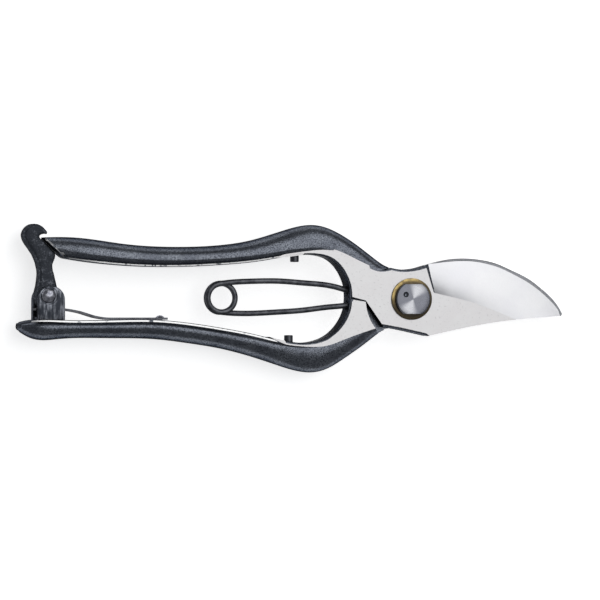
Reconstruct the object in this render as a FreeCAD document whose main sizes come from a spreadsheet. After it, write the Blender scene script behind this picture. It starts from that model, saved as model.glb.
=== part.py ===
"""Forged bypass secateurs, 200 mm long, closed and latched.

Frame: +X towards the blade's tip, +Z towards the bolt's head, the origin where the pivot's
axis meets the flat face of the nut. The two arms lap at the pivot: the blade arm's plate is
the front layer and the hook arm's plate the back layer, and they meet in the middle plane.
"""
import FreeCAD, Part
import math
import os
import Sketcher
from FreeCAD import Placement, Rotation, Vector

doc = FreeCAD.newDocument("secateurs")
sheet = doc.addObject("Spreadsheet::Sheet", "dimensions")

DIMENSIONS = (
    # the pivot's stack, from the nut's face upwards
    ("nut_height", 3.6, "thin hexagon nut"),
    ("nut_flats", 12.0, "across the nut's flats"),
    ("washer_thickness", 0.8, "both washers"),
    ("washer_radius", 7.4, "both washers"),
    ("plate_thickness", 4.8, "each arm's plate at the pivot"),
    ("plate_gap", 0.03, "running gap beside the middle plane"),
    ("head_height", 2.0, "bolt head"),
    ("head_radius", 6.25, "bolt head"),
    ("head_flats", 10.5, "across the head's two flats"),
    ("head_chamfer", 0.35, "bolt head's rim"),
    ("bolt_radius", 4.0, "bolt shank"),
    ("running_clearance", 0.05, "radial, shank in an arm"),
    ("fixed_clearance", 0.02, "radial, shank in nut and washers"),
    ("step_radius", 16.8, "lap's step wall, about the pivot"),
    ("plate_chamfer", 0.9, "outer edge of a plate"),
    ("edge_thickness", 0.35, "blade above its cutting edge"),
    ("hollow_depth", 0.45, "sag of the hollow-ground bevel"),
    # the main spring
    ("wire_radius", 1.0, "main spring"),
    ("coil_radius", 5.1, "mean radius of the coil"),
    ("coil_x", -68.6, "coil's axis"),
    ("coil_y", 0.45, "coil's axis"),
    ("coil_pitch", 2.06, "one turn beside the next"),
    ("socket_x", -22.4, "spring's sockets in the loop's wall"),
    ("socket_upper_y", 3.1, "blade arm's socket"),
    ("socket_lower_y", -2.2, "hook arm's socket"),
    ("socket_radius", 1.7, "spring's sockets"),
    ("socket_depth", 3.0, "spring's sockets"),
    ("leg_insertion", 1.6, "leg's end inside its socket"),
    # the spring-seat pegs
    ("peg_radius", 1.55, "seat peg"),
    ("peg_length", 4.4, "seat peg, with its root"),
    ("peg_root", 2.0, "length let into the arm"),
    ("peg_round", 0.35, "peg's rounded end"),
    ("peg_upper_x", -41.7, "blade arm's peg"),
    ("peg_upper_y", 15.5, "blade arm's inner face there"),
    ("peg_lower_x", -43.9, "hook arm's peg"),
    ("peg_lower_y", -15.2, "hook arm's inner face there"),
    # the latch
    ("latch_x", -133.0, "latch's pin"),
    ("latch_y", 1.2, "latch's pin"),
    ("latch_thickness", 6.0, "lever"),
    ("latch_hub_radius", 4.1, "lever's hub"),
    ("latch_side_gap", 0.15, "between lever and ear"),
    ("ear_thickness", 2.3, "each ear of the bracket"),
    ("ear_x", -131.9, "middle of an ear"),
    ("ear_y", -0.3, "centre of an ear's round top"),
    ("ear_radius", 4.9, "ear's round top"),
    ("bracket_base_y", -7.4, "handle's inner face under the bracket"),
    ("bracket_floor", 1.0, "bracket's floor"),
    ("latch_pin_radius", 1.75, "pin's shank"),
    ("latch_pin_head", 2.6, "radius of the pin's heads"),
    ("latch_pin_dome", 1.1, "height of the pin's heads"),
    # the leaf spring that holds the latch
    ("leaf_thickness", 0.8, "strip"),
    ("leaf_width", 5.2, "strip"),
    ("leaf_rivet_x", -91.0, "rivet"),
    ("leaf_rivet_radius", 0.9, "rivet's shank"),
    ("leaf_rivet_head", 1.6, "radius of the rivet's head"),
    ("leaf_rivet_dome", 0.8, "height of the rivet's head"),
    ("leaf_rivet_length", 3.4, "rivet's shank, through the leaf"),
    ("leaf_lift", 0.05, "leaf above the handle's inner face at the rivet"),
    ("seat_left", -142.0, "flat seat on the hook arm's inner face"),
    ("seat_length", 56.0, "flat seat on the hook arm's inner face"),
    ("nut_cone_inset", 0.2, "turned corner of the nut, inside its flats at the face"),
    ("nut_cone_slope", 1.6, "turned corner of the nut, radius gained per height"),
)
size = {}
for row, (alias, value, use) in enumerate(DIMENSIONS, start=1):
    sheet.set(f"A{row}", alias)
    sheet.set(f"B{row}", str(value))
    sheet.set(f"C{row}", use)
    sheet.setAlias(f"B{row}", alias)
    size[alias] = value
doc.recompute()

MIDDLE = size["nut_height"] + size["washer_thickness"] + size["plate_thickness"]
FRONT = MIDDLE + size["plate_thickness"]
BACK = MIDDLE - size["plate_thickness"]
MIDDLE_TERM = "(dimensions.nut_height + dimensions.washer_thickness + dimensions.plate_thickness)"
FRONT_TERM = "(dimensions.nut_height + dimensions.washer_thickness + 2 * dimensions.plate_thickness)"


# ---------------------------------------------------------------- shared construction

def flat(points, height=0.0):
    """Plan points (x, y) as vectors at one height."""
    return [Vector(x, y, height) for x, y in points]


def curve(points):
    """A smooth edge through points."""
    spline = Part.BSplineCurve()
    spline.interpolate(points)
    return spline.toShape()


def outline(stretches, height=0.0):
    """A closed plan wire: stretches of two points are straight, longer ones are smooth."""
    edges = []
    for stretch in stretches:
        points = flat(stretch, height)
        edges.append(Part.makeLine(*points) if len(points) == 2 else curve(points))
    return Part.Wire(edges)


def prism(stretches, bottom, top):
    """The outline's solid from one height to another."""
    return Part.Face(outline(stretches, bottom)).extrude(Vector(0, 0, top - bottom))


def rung_section(rung):
    """One section of a forged bar, in the upright plane through a rung of its ladder.

    The inner face is flat. From its edge the front face rises to the crown, and then rounds
    off to the outer side. The back is the same.
    """
    inner, outer, half_thickness, crown, edge = rung
    across = (
        (0.0, edge),
        (crown * 0.45, edge + (1 - edge) * 0.75),
        (crown, 1.0),
        (crown + (1 - crown) * 0.5, 0.9),
        (crown + (1 - crown) * 0.86, 0.54),
    )
    start = Vector(*inner, MIDDLE)
    run = Vector(*outer, MIDDLE) - start
    front = [start + run * u + Vector(0, 0, half_thickness * w) for u, w in across]
    back = [start + run * u - Vector(0, 0, half_thickness * w) for u, w in across]
    side = curve(front + [start + run] + back[::-1])
    return Part.Wire([side, Part.makeLine(back[0], front[0])])


def forged_bar(ladder):
    """A bar lofted through the rungs of its ladder."""
    return Part.makeLoft([rung_section(rung) for rung in ladder], True, False)


def upright_cylinder(x, y, radius, bottom, top):
    return Part.makeCylinder(radius, top - bottom, Vector(x, y, bottom))


def feature(label, shape):
    """A sub-part that is given as a finished shape."""
    made = doc.addObject("Part::Feature", label)
    made.Label = label
    made.Shape = shape.removeSplitter()
    made.Placement = Placement()
    return made


# ---------------------------------------------------------------- the two arms

# A rung is: inner point, outer point, half thickness, crown, inner edge's share of it.
BLADE_HANDLE = (
    ((-127.0, 14.5), (-134.5, 21.8), 4.4, 0.35, 0.70),
    ((-121.0, 13.5), (-124.6, 21.9), 5.7, 0.35, 0.72),
    ((-104.5, 11.8), (-104.8, 19.6), 6.0, 0.35, 0.74),
    ((-87.0, 11.3), (-87.0, 18.5), 6.0, 0.35, 0.74),
    ((-70.0, 12.0), (-70.5, 19.0), 6.0, 0.35, 0.74),
    ((-56.0, 13.3), (-57.5, 20.9), 5.9, 0.32, 0.76),
    ((-45.0, 15.1), (-46.5, 24.1), 5.6, 0.26, 0.80),
    ((-38.0, 15.9), (-37.5, 26.2), 5.2, 0.24, 0.87),
    ((-31.5, 16.0), (-30.2, 25.4), 4.9, 0.28, 0.94),
    ((-27.1, 14.3), (-23.0, 21.9), 4.72, 0.37, 0.99),
    ((-23.9, 10.9), (-16.2, 17.2), 4.7, 0.50, 0.99),
    ((-21.8, 6.1), (-9.8, 12.5), 4.7, 0.68, 0.99),
)
HOOK_HANDLE = (
    ((-143.4, -8.4), (-143.4, -11.0), 2.0, 0.35, 0.70),
    ((-138.4, -7.4), (-138.2, -13.9), 5.0, 0.35, 0.72),
    ((-128.0, -7.4), (-128.0, -14.2), 6.0, 0.35, 0.74),
    ((-110.0, -7.4), (-110.0, -13.9), 6.0, 0.35, 0.74),
    ((-92.5, -7.4), (-92.5, -14.3), 6.0, 0.35, 0.74),
    ((-81.0, -8.5), (-81.5, -15.6), 6.0, 0.35, 0.74),
    ((-69.0, -10.3), (-70.0, -17.4), 6.0, 0.35, 0.74),
    ((-57.3, -12.5), (-58.9, -20.1), 5.9, 0.32, 0.76),
    ((-46.5, -15.0), (-48.4, -23.4), 5.6, 0.24, 0.80),
    ((-38.5, -15.8), (-38.0, -26.0), 5.2, 0.20, 0.87),
    ((-32.5, -14.9), (-30.4, -25.0), 4.9, 0.24, 0.94),
    ((-28.4, -12.6), (-23.2, -20.9), 4.72, 0.34, 0.99),
    ((-25.3, -8.6), (-15.8, -15.8), 4.7, 0.55, 0.99),
    ((-23.5, -4.1), (-10.5, -11.9), 4.7, 0.73, 0.99),
)

# The arms' inner faces meet on this line, left of the lap, when the tool is closed.
STOP_LEFT = (-22.3, 0.4)
STOP_RIGHT = (-16.75, -0.5)
STOP_GAP = 0.04

NECK = (-7.3, 11.1)
HOOK_NECK = (-10.1, 9.7)

# The ground flats around the crotch, from the plate's root round to the stop.
BLADE_CROTCH = (
    (
        NECK, (-11.5, 10.6), (-15.0, 11.7), (-20.4, 14.2), (-26.3, 16.9), (-32.1, 18.3),
        (-38.0, 18.1), (-44.0, 16.7), (-50.0, 14.6),
    ),
    (
        (-50.0, 14.6), (-45.5, 14.9), (-39.7, 15.6), (-34.0, 15.5), (-29.6, 14.3), (-26.3, 11.7),
        (-23.9, 8.0), (-22.6, 4.3), STOP_LEFT,
    ),
    (STOP_LEFT, STOP_RIGHT),
)
STOP_LEFT_LOWER = (STOP_LEFT[0], STOP_LEFT[1] - STOP_GAP)
STOP_RIGHT_LOWER = (STOP_RIGHT[0], STOP_RIGHT[1] - STOP_GAP)
HOOK_CROTCH = (
    (STOP_RIGHT_LOWER, STOP_LEFT_LOWER),
    (
        STOP_LEFT_LOWER, (-22.7, -3.2), (-24.1, -6.9), (-26.6, -10.4), (-30.0, -13.2),
        (-34.3, -14.9), (-39.7, -15.5), (-45.5, -14.9), (-52.0, -13.4),
    ),
    (
        (-52.0, -13.4), (-44.5, -16.6), (-38.0, -17.4), (-32.1, -16.9), (-26.3, -15.0),
        (-20.4, -12.8), (-15.0, -11.0), (-11.5, -10.2), (-8.6, -10.6),
    ),
)

# The front plate runs from the stop round the pivot and on into the blade.
PLATE_HEEL = (-10.1, -9.9)
BLADE_HEEL = (6.4, 12.2)
SPINE_CORNER = (6.0, -13.2)
BLADE_TIP = (56.0, -6.1)
BLADE_PLATE = (
    (STOP_RIGHT, PLATE_HEEL),
    (PLATE_HEEL, (-5.0, -10.8), (0.2, -11.9), SPINE_CORNER),
    (SPINE_CORNER, (20.4, -10.1), (33.0, -8.0), (44.2, -6.9), BLADE_TIP),
    (
        BLADE_TIP, (55.5, -4.5), (53.9, -2.2), (51.4, 0.3), (48.4, 2.9), (43.6, 6.2), (38.1, 9.1),
        (32.6, 11.5), (27.0, 13.1), (19.5, 13.8), (13.0, 13.3), BLADE_HEEL,
    ),
    (BLADE_HEEL, (3.1, 11.2), (-0.5, 10.6), (-4.0, 10.5), NECK),
)

# The back plate runs on into the hook, a crescent just proud of the blade's edge.
HOOK_ROOT = (-8.6, -10.6)
HOOK_HEEL = (6.3, 12.0)
HOOK_TIP = (56.9, -5.3)
HOOK_TIP_INNER = (56.4, -6.1)
HOOK_PLATE = (
    (HOOK_ROOT, (-4.0, -10.2), (1.0, -10.4), (5.2, -9.6), (7.6, -6.6)),
    (
        (7.6, -6.6), (9.6, -1.6), (13.4, 2.9), (19.5, 5.8), (28.0, 6.2), (37.5, 3.6), (46.0, -0.6),
        (52.0, -4.0), HOOK_TIP_INNER,
    ),
    (HOOK_TIP_INNER, HOOK_TIP),
    (
        HOOK_TIP, (55.0, -2.1), (52.8, 0.5), (50.3, 2.8), (47.0, 5.5), (44.1, 7.4), (38.1, 10.3),
        (32.7, 12.6), (27.0, 13.9), (19.1, 14.4), (13.0, 13.7), HOOK_HEEL,
    ),
    (HOOK_HEEL, (3.1, 11.0), (-0.5, 10.4), (-5.0, 10.0), HOOK_NECK),
    (HOOK_NECK, STOP_RIGHT_LOWER),
)

# The bevel is hollow-ground from the ridge to the cutting edge, past the tip.
PLUNGE = ((8.0, 2.4), (5.9, 12.3))
RIDGE = ((8.8, 2.1), (17.8, 0.0), (28.0, -3.1), (41.0, -8.3), (56.5, -12.5))
RIDGE_HEIGHTS = ((0.0, 4.8), (0.5, 4.8), (0.72, 4.2), (0.86, 3.2), (1.0, 2.0))
EDGE = ((7.4, 12.6), (13.0, 13.3), (22.0, 13.8), (32.6, 11.5), (43.6, 6.2), (51.4, 0.3), (57.2, -6.9))
GRIND_SECTIONS = 9
GRIND_REACH = 3.0
GRIND_TOP = 6.5
PLUNGE_LIFT = 0.2
PLUNGE_SAG = -0.1
OVERCUT = 3.0
CROTCH_LAP = 1.0


def grinding_section(ridge, edge, ridge_height, edge_height, hollow):
    """The metal that grinding takes away, in the upright plane from the ridge to the edge."""
    low = Vector(*edge, MIDDLE + edge_height)
    high = Vector(*ridge, MIDDLE + ridge_height)
    outward = Vector(edge[0] - ridge[0], edge[1] - ridge[1], 0).normalize() * GRIND_REACH
    sag = (low + high) * 0.5 - Vector(0, 0, hollow)
    past = low + outward
    above_past = Vector(past.x, past.y, MIDDLE + GRIND_TOP)
    above_ridge = Vector(high.x, high.y, MIDDLE + GRIND_TOP)
    return Part.Wire(
        [
            Part.Arc(high, sag, low).toShape(),
            Part.makeLine(low, past),
            Part.makeLine(past, above_past),
            Part.makeLine(above_past, above_ridge),
            Part.makeLine(above_ridge, high),
        ]
    )


def chamfered(plate, height, *stretches):
    """The plate with a chamfer along the edges at height that have these pairs of ends."""
    edges = []
    for ends in stretches:
        wanted = flat(ends, height)
        for edge in plate.Edges:
            found = [v.Point for v in edge.Vertexes]
            if all(any(p.distanceToPoint(w) < 1e-6 for p in found) for w in wanted):
                edges.append(edge)
    return plate.makeChamfer(size["plate_chamfer"], edges)


def socket(y, lean):
    """A spring's socket, drilled into the loop's wall along the leg's end."""
    way = Vector(math.cos(lean), math.sin(lean), 0)
    mouth = Vector(size["socket_x"], y, MIDDLE) - way * OVERCUT
    return Part.makeCylinder(size["socket_radius"], size["socket_depth"] + OVERCUT, mouth, way)


def peg_hole(x, y, direction):
    start = Vector(x, y - OVERCUT * direction, MIDDLE)
    radius = size["peg_radius"] + size["fixed_clearance"]
    return Part.makeCylinder(radius, OVERCUT + size["peg_root"], start, Vector(0, direction, 0))


SOCKET_LEAN = math.radians(-16)
SOCKET_LEAN_LOWER = math.radians(8)
PIVOT_BORE = size["bolt_radius"] + size["running_clearance"]


def along(points, count):
    """Evenly spaced points along the smooth plan line through points."""
    spline = Part.BSplineCurve()
    spline.interpolate(flat(points))
    return [(p.x, p.y) for p in spline.discretize(count)]


def grinding_sections():
    """The bevel's grinding sections, spread evenly from the plunge to past the tip."""
    heights = Part.BSplineCurve()
    heights.interpolate(flat(RIDGE_HEIGHTS))
    made = []
    rungs = zip(along(RIDGE, GRIND_SECTIONS), along(EDGE, GRIND_SECTIONS), heights.discretize(GRIND_SECTIONS))
    for ridge, edge, level in rungs:
        height = min(level.y, size["plate_thickness"])
        made.append(grinding_section(ridge, edge, height, size["edge_thickness"], size["hollow_depth"]))
    return made


def make_blade_arm():
    plate_outline = BLADE_PLATE + BLADE_CROTCH
    plate = prism(plate_outline, MIDDLE + size["plate_gap"], FRONT)
    plate = chamfered(plate, FRONT, (BLADE_HEEL, NECK), (PLATE_HEEL, SPINE_CORNER))
    crotch = prism(BLADE_CROTCH + ((STOP_RIGHT, NECK),), BACK, MIDDLE + CROTCH_LAP)
    bar = forged_bar(BLADE_HANDLE)
    lap = upright_cylinder(0, 0, size["step_radius"], BACK - OVERCUT, MIDDLE + size["plate_gap"])
    arm = bar.fuse([crotch]).cut(lap).fuse(plate)
    sections = grinding_sections()
    full = size["plate_thickness"]
    plunge_start = grinding_section(*PLUNGE, full, full + PLUNGE_LIFT, PLUNGE_SAG)
    arm = arm.cut(Part.makeLoft(sections, True, False))
    arm = arm.cut(Part.makeLoft([plunge_start, sections[0]], True, True))
    arm = arm.cut(upright_cylinder(0, 0, PIVOT_BORE, BACK, FRONT + OVERCUT))
    arm = arm.cut(socket(size["socket_upper_y"], SOCKET_LEAN))
    arm = arm.cut(peg_hole(size["peg_upper_x"], size["peg_upper_y"], 1))
    return arm


def make_hook_arm():
    plate = prism(HOOK_PLATE + HOOK_CROTCH, BACK, MIDDLE - size["plate_gap"])
    plate = chamfered(plate, BACK, (HOOK_TIP, HOOK_HEEL), (HOOK_HEEL, HOOK_NECK))
    crotch = prism(HOOK_CROTCH + ((HOOK_ROOT, STOP_RIGHT_LOWER),), MIDDLE - CROTCH_LAP, FRONT)
    bar = forged_bar(HOOK_HANDLE)
    lap = upright_cylinder(0, 0, size["step_radius"], MIDDLE - size["plate_gap"], FRONT + OVERCUT)
    arm = bar.fuse([crotch]).cut(lap).fuse(plate)
    arm = arm.cut(upright_cylinder(0, 0, PIVOT_BORE, BACK - OVERCUT, FRONT))
    arm = arm.cut(socket(size["socket_lower_y"], SOCKET_LEAN_LOWER))
    arm = arm.cut(peg_hole(size["peg_lower_x"], size["peg_lower_y"], -1))
    corner = Vector(size["seat_left"], size["bracket_base_y"], BACK - OVERCUT)
    seat = Part.makeBox(size["seat_length"], OVERCUT, FRONT - BACK + 2 * OVERCUT, corner)
    arm = arm.cut(seat)
    hole = size["leaf_rivet_radius"] + size["fixed_clearance"]
    top = Vector(size["leaf_rivet_x"], size["bracket_base_y"] + OVERCUT, MIDDLE)
    return arm.cut(Part.makeCylinder(hole, size["leaf_rivet_length"] + OVERCUT, top, Vector(0, -1, 0)))


blade_arm = feature("blade_arm", make_blade_arm())
hook_arm = feature("hook_arm", make_hook_arm())


# ---------------------------------------------------------------- turned and flat parts

def plane_of(body, role):
    return next(f for f in body.Origin.OriginFeatures if f.Role == role)


def new_body(label):
    body = doc.addObject("PartDesign::Body", label)
    body.Label = label
    return body


def ring_sketch(body, name, radii, height_term=None):
    """Concentric circles about the body's axis, each radius bound to the sheet."""
    sketch = body.newObject("Sketcher::SketchObject", name)
    sketch.AttachmentSupport = [(plane_of(body, "XY_Plane"), "")]
    sketch.MapMode = "FlatFace"
    for index, term in enumerate(radii):
        sketch.addGeometry(Part.Circle(Vector(0, 0, 0), Vector(0, 0, 1), 1.0 + index))
        sketch.addConstraint(Sketcher.Constraint("Coincident", index, 3, -1, 1))
        place = sketch.addConstraint(Sketcher.Constraint("Radius", index, 1.0 + index))
        sketch.setExpression(f"Constraints[{place}]", term)
    if height_term:
        sketch.setExpression("AttachmentOffset.Base.z", height_term)
    return sketch


def pad(body, name, sketch, length_term):
    made = body.newObject("PartDesign::Pad", name)
    made.Profile = sketch
    made.setExpression("Length", length_term)
    return made


def make_washer(label, height_term):
    body = new_body(label)
    bore = "dimensions.bolt_radius + dimensions.fixed_clearance"
    sketch = ring_sketch(body, label + "_ring", ["dimensions.washer_radius", bore])
    pad(body, label + "_pad", sketch, "dimensions.washer_thickness")
    body.setExpression("Placement.Base.z", height_term)
    return body


def make_bolt():
    """A shank from the nut's face to the head, and a low round head with two flats."""
    body = new_body("pivot_bolt")
    head_base = FRONT_TERM + " + dimensions.washer_thickness"
    shank = ring_sketch(body, "bolt_shank", ["dimensions.bolt_radius"])
    pad(body, "bolt_shank_pad", shank, head_base)
    head = ring_sketch(body, "bolt_head", ["dimensions.head_radius"], head_base)
    head_pad = pad(body, "bolt_head_pad", head, "dimensions.head_height")
    doc.recompute()
    rims = [
        f"Edge{i}" for i, edge in enumerate(head_pad.Shape.Edges, start=1)
        if abs(edge.BoundBox.ZMin - head_pad.Shape.BoundBox.ZMax) < 1e-6
    ]
    rim = body.newObject("PartDesign::Chamfer", "bolt_head_rim")
    rim.Base = (head_pad, rims)
    rim.setExpression("Size", "dimensions.head_chamfer")
    flats = body.newObject("Sketcher::SketchObject", "bolt_flats")
    flats.AttachmentSupport = [(plane_of(body, "XY_Plane"), "")]
    flats.MapMode = "FlatFace"
    flats.setExpression("AttachmentOffset.Base.z", head_base)
    reach = size["head_radius"] + 1
    for side in (1, -1):
        low = side * size["head_flats"] / 2
        high = side * reach
        corners = flat([(-reach, low), (reach, low), (reach, high), (-reach, high)])
        first = flats.GeometryCount
        for k in range(4):
            flats.addGeometry(Part.LineSegment(corners[k], corners[(k + 1) % 4]))
        for k in range(4):
            flats.addConstraint(Sketcher.Constraint("Coincident", first + k, 2, first + (k + 1) % 4, 1))
        for k, kind in enumerate(("Horizontal", "Vertical", "Horizontal", "Vertical")):
            flats.addConstraint(Sketcher.Constraint(kind, first + k))
        ends = (-1, 1, first, 1) if side > 0 else (first, 1, -1, 1)
        place = flats.addConstraint(Sketcher.Constraint("DistanceY", *ends, size["head_flats"] / 2))
        flats.setExpression(f"Constraints[{place}]", "dimensions.head_flats / 2")
    pocket = body.newObject("PartDesign::Pocket", "bolt_flats_pocket")
    pocket.Profile = flats
    pocket.Reversed = True
    pocket.setExpression("Length", "dimensions.head_height + 1")
    doc.recompute()
    if pocket.Shape.Volume > rim.Shape.Volume - 1.0:
        raise ValueError("the bolt head's flats were not cut")
    return body


def make_rivet(label, terms, shank_length_term, domes):
    """A rivet about its own Z axis, its shank's foot at the origin and a dome on each listed end."""
    body = new_body(label)
    radius_term, head_term, dome_term = terms
    shank = ring_sketch(body, label + "_shank", [radius_term])
    pad(body, label + "_shank_pad", shank, shank_length_term)
    for end in domes:
        dome = body.newObject("Sketcher::SketchObject", label + "_dome_" + end)
        dome.AttachmentSupport = [(plane_of(body, "XZ_Plane"), "")]
        dome.MapMode = "FlatFace"
        up = 1 if end == "top" else -1
        head = size[head_term.split(".")[1]]
        rise = size[dome_term.split(".")[1]]
        foot = Vector(0, 0, 0)
        rim = Vector(head, 0, 0)
        crown = Vector(0, up * rise, 0)
        ball = (head * head + rise * rise) / (2 * rise)
        middle = Vector(head / 2, up * (math.sqrt(ball * ball - head * head / 4) - ball + rise), 0)
        dome.addGeometry(Part.LineSegment(crown, foot))
        dome.addGeometry(Part.LineSegment(foot, rim))
        dome.addGeometry(Part.Arc(*((rim, middle, crown) if up > 0 else (crown, middle, rim))))
        dome.addConstraint(Sketcher.Constraint("Coincident", 0, 2, 1, 1))
        dome.addConstraint(Sketcher.Constraint("Coincident", 1, 1, -1, 1))
        dome.addConstraint(Sketcher.Constraint("Coincident", 1, 2, 2, 1 if up > 0 else 2))
        dome.addConstraint(Sketcher.Constraint("Coincident", 0, 1, 2, 2 if up > 0 else 1))
        dome.addConstraint(Sketcher.Constraint("Vertical", 0))
        dome.addConstraint(Sketcher.Constraint("Horizontal", 1))
        place = dome.addConstraint(Sketcher.Constraint("DistanceX", 1, 1, 1, 2, head))
        dome.setExpression(f"Constraints[{place}]", head_term)
        if end == "top":
            dome.setExpression("AttachmentOffset.Base.y", shank_length_term)
        turned = body.newObject("PartDesign::Revolution", label + "_turned_" + end)
        turned.Profile = dome
        turned.ReferenceAxis = (dome, ["V_Axis"])
        turned.Angle = 360
    return body


def primitive(kind, name, terms, place_terms=None, rotation=None):
    """A Part primitive with its sizes and place bound to the sheet."""
    made = doc.addObject("Part::" + kind, name)
    for prop, term in terms.items():
        made.setExpression(prop, term)
    if rotation:
        made.Placement = Placement(Vector(0, 0, 0), rotation)
    for axis, term in (place_terms or {}).items():
        made.setExpression("Placement.Base." + axis, term)
    return made


def joined(kind, name, parts):
    made = doc.addObject("Part::" + kind, name)
    if kind == "MultiFuse":
        made.Shapes = parts
    else:
        made.Base, made.Tool = parts
    return made


def make_nut():
    """A thin hexagon nut with its corners turned down on the outer side."""
    across = "dimensions.nut_flats / 2 / cos(30)"
    inset = "dimensions.nut_flats / 2 - dimensions.nut_cone_inset"
    hexagon = primitive("Prism", "nut_hexagon", {"Circumradius": across, "Height": "dimensions.nut_height"})
    hexagon.Polygon = 6
    cone = primitive(
        "Cone", "nut_cone",
        {
            "Radius1": inset,
            "Radius2": inset + " + dimensions.nut_cone_slope * dimensions.nut_height",
            "Height": "dimensions.nut_height",
        },
    )
    bore = primitive(
        "Cylinder", "nut_bore",
        {"Radius": "dimensions.bolt_radius + dimensions.fixed_clearance", "Height": "dimensions.nut_height"},
    )
    turned = joined("Common", "nut_turned", (hexagon, cone))
    nut = joined("Cut", "pivot_nut", (turned, bore))
    nut.Label = "pivot_nut"
    return nut


def make_peg(label, x_term, y_term, direction):
    """A spring-seat peg, let into an arm's inner face and standing towards the spring."""
    turn = Rotation(Vector(1, 0, 0), 90 if direction < 0 else -90)
    root = f"{y_term} - {direction} * dimensions.peg_root"
    shank = primitive(
        "Cylinder", label + "_blank",
        {"Radius": "dimensions.peg_radius", "Height": "dimensions.peg_length"},
        {"x": x_term, "y": root, "z": MIDDLE_TERM}, turn,
    )
    doc.recompute()
    tip_y = size[y_term.split(".")[1]] - direction * size["peg_root"] + direction * size["peg_length"]
    rims = [
        i for i, edge in enumerate(shank.Shape.Edges, start=1)
        if abs(edge.BoundBox.YMin - tip_y) < 1e-3 and abs(edge.BoundBox.YMax - tip_y) < 1e-3
    ]
    peg = doc.addObject("Part::Fillet", label)
    peg.Base = shank
    peg.Edges = [(i, size["peg_round"], size["peg_round"]) for i in rims]
    peg.Label = label
    return peg


# ---------------------------------------------------------------- the latch

LATCH_OUTLINE = (
    (
        (-137.1, 1.0), (-136.1, 5.2), (-135.8, 10.3), (-136.7, 13.8), (-138.4, 16.9),
        (-140.7, 20.2), (-141.4, 22.7), (-140.2, 25.3), (-137.4, 26.6), (-134.8, 25.9),
        (-132.7, 23.7),
    ),
    ((-132.7, 23.7), (-132.9, 23.1)),
    ((-132.9, 23.1), (-134.8, 23.1), (-135.8, 22.3), (-135.3, 21.4), (-134.2, 20.6)),
    ((-134.2, 20.6), (-129.9, 16.3)),
    (
        (-129.9, 16.3), (-129.9, 14.6), (-130.8, 12.3), (-130.5, 9.6), (-129.7, 6.4),
        (-129.1, 3.4), (-128.95, 1.0),
    ),
    ((-128.95, 1.0), (-137.1, 1.0)),
)


def make_latch():
    """A flat lever with a beaked head, rounded all round its two sides, and a round hub."""
    half = size["latch_thickness"] / 2
    lever = prism(LATCH_OUTLINE, MIDDLE - half, MIDDLE + half)
    hub = upright_cylinder(
        size["latch_x"], size["latch_y"], size["latch_hub_radius"], MIDDLE - half, MIDDLE + half
    )
    lever = lever.fuse(hub)
    bore = size["latch_pin_radius"] + size["running_clearance"]
    return lever.cut(upright_cylinder(size["latch_x"], size["latch_y"], bore, BACK, FRONT))


def make_bracket():
    """Two ears with round tops, joined by a floor that sits on the handle's inner face."""
    ears = []
    inner = "dimensions.latch_thickness / 2 + dimensions.latch_side_gap"
    for side, sign in (("front", 1), ("back", -1)):
        low = f"{MIDDLE_TERM} + ({inner})" if sign > 0 else f"{MIDDLE_TERM} - ({inner}) - dimensions.ear_thickness"
        leg = primitive(
            "Box", f"ear_leg_{side}",
            {
                "Length": "2 * dimensions.ear_radius",
                "Width": "dimensions.ear_y - dimensions.bracket_base_y",
                "Height": "dimensions.ear_thickness",
            },
            {"x": "dimensions.ear_x - dimensions.ear_radius", "y": "dimensions.bracket_base_y", "z": low},
        )
        top = primitive(
            "Cylinder", f"ear_top_{side}",
            {"Radius": "dimensions.ear_radius", "Height": "dimensions.ear_thickness"},
            {"x": "dimensions.ear_x", "y": "dimensions.ear_y", "z": low},
        )
        ears += [leg, top]
    floor = primitive(
        "Box", "bracket_floor",
        {
            "Length": "2 * dimensions.ear_radius",
            "Width": "dimensions.bracket_floor",
            "Height": f"2 * ({inner})",
        },
        {
            "x": "dimensions.ear_x - dimensions.ear_radius",
            "y": "dimensions.bracket_base_y",
            "z": f"{MIDDLE_TERM} - ({inner})",
        },
    )
    blank = joined("MultiFuse", "bracket_blank", ears + [floor])
    bore = primitive(
        "Cylinder", "bracket_bore",
        {
            "Radius": "dimensions.latch_pin_radius + dimensions.fixed_clearance",
            "Height": "4 * dimensions.latch_thickness",
        },
        {
            "x": "dimensions.latch_x",
            "y": "dimensions.latch_y",
            "z": f"{MIDDLE_TERM} - 2 * dimensions.latch_thickness",
        },
    )
    bracket = joined("Cut", "latch_bracket", (blank, bore))
    bracket.Label = "latch_bracket"
    return bracket


LEAF_LINE = (
    (-137.0, -3.6), (-132.5, -3.45), (-127.5, -3.6), (-123.0, -4.2), (-119.5, -5.0),
    (-116.3, -6.0), (-113.0, -6.7), (-109.5, -6.95), (-88.8, -6.95),
)


def make_leaf():
    """A springy strip, flat on the handle at the rivet and lifted under the latch's hub."""
    half = size["leaf_thickness"] / 2
    upper = tuple((x, y + half) for x, y in LEAF_LINE[:-1])
    lower = tuple((x, y - half) for x, y in LEAF_LINE[:-1])
    end_upper = (LEAF_LINE[-1][0], LEAF_LINE[-1][1] + half)
    end_lower = (LEAF_LINE[-1][0], LEAF_LINE[-1][1] - half)
    stretches = (
        upper, (upper[-1], end_upper), (end_upper, end_lower), (end_lower, lower[-1]), lower[::-1],
        (lower[0], upper[0]),
    )
    width = size["leaf_width"] / 2
    leaf = prism(stretches, MIDDLE - width, MIDDLE + width)
    hole = size["leaf_rivet_radius"] + size["fixed_clearance"]
    top = Vector(size["leaf_rivet_x"], size["bracket_base_y"] + OVERCUT, MIDDLE)
    return leaf.cut(Part.makeCylinder(hole, 2 * OVERCUT, top, Vector(0, -1, 0)))


# ---------------------------------------------------------------- the main spring

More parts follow.
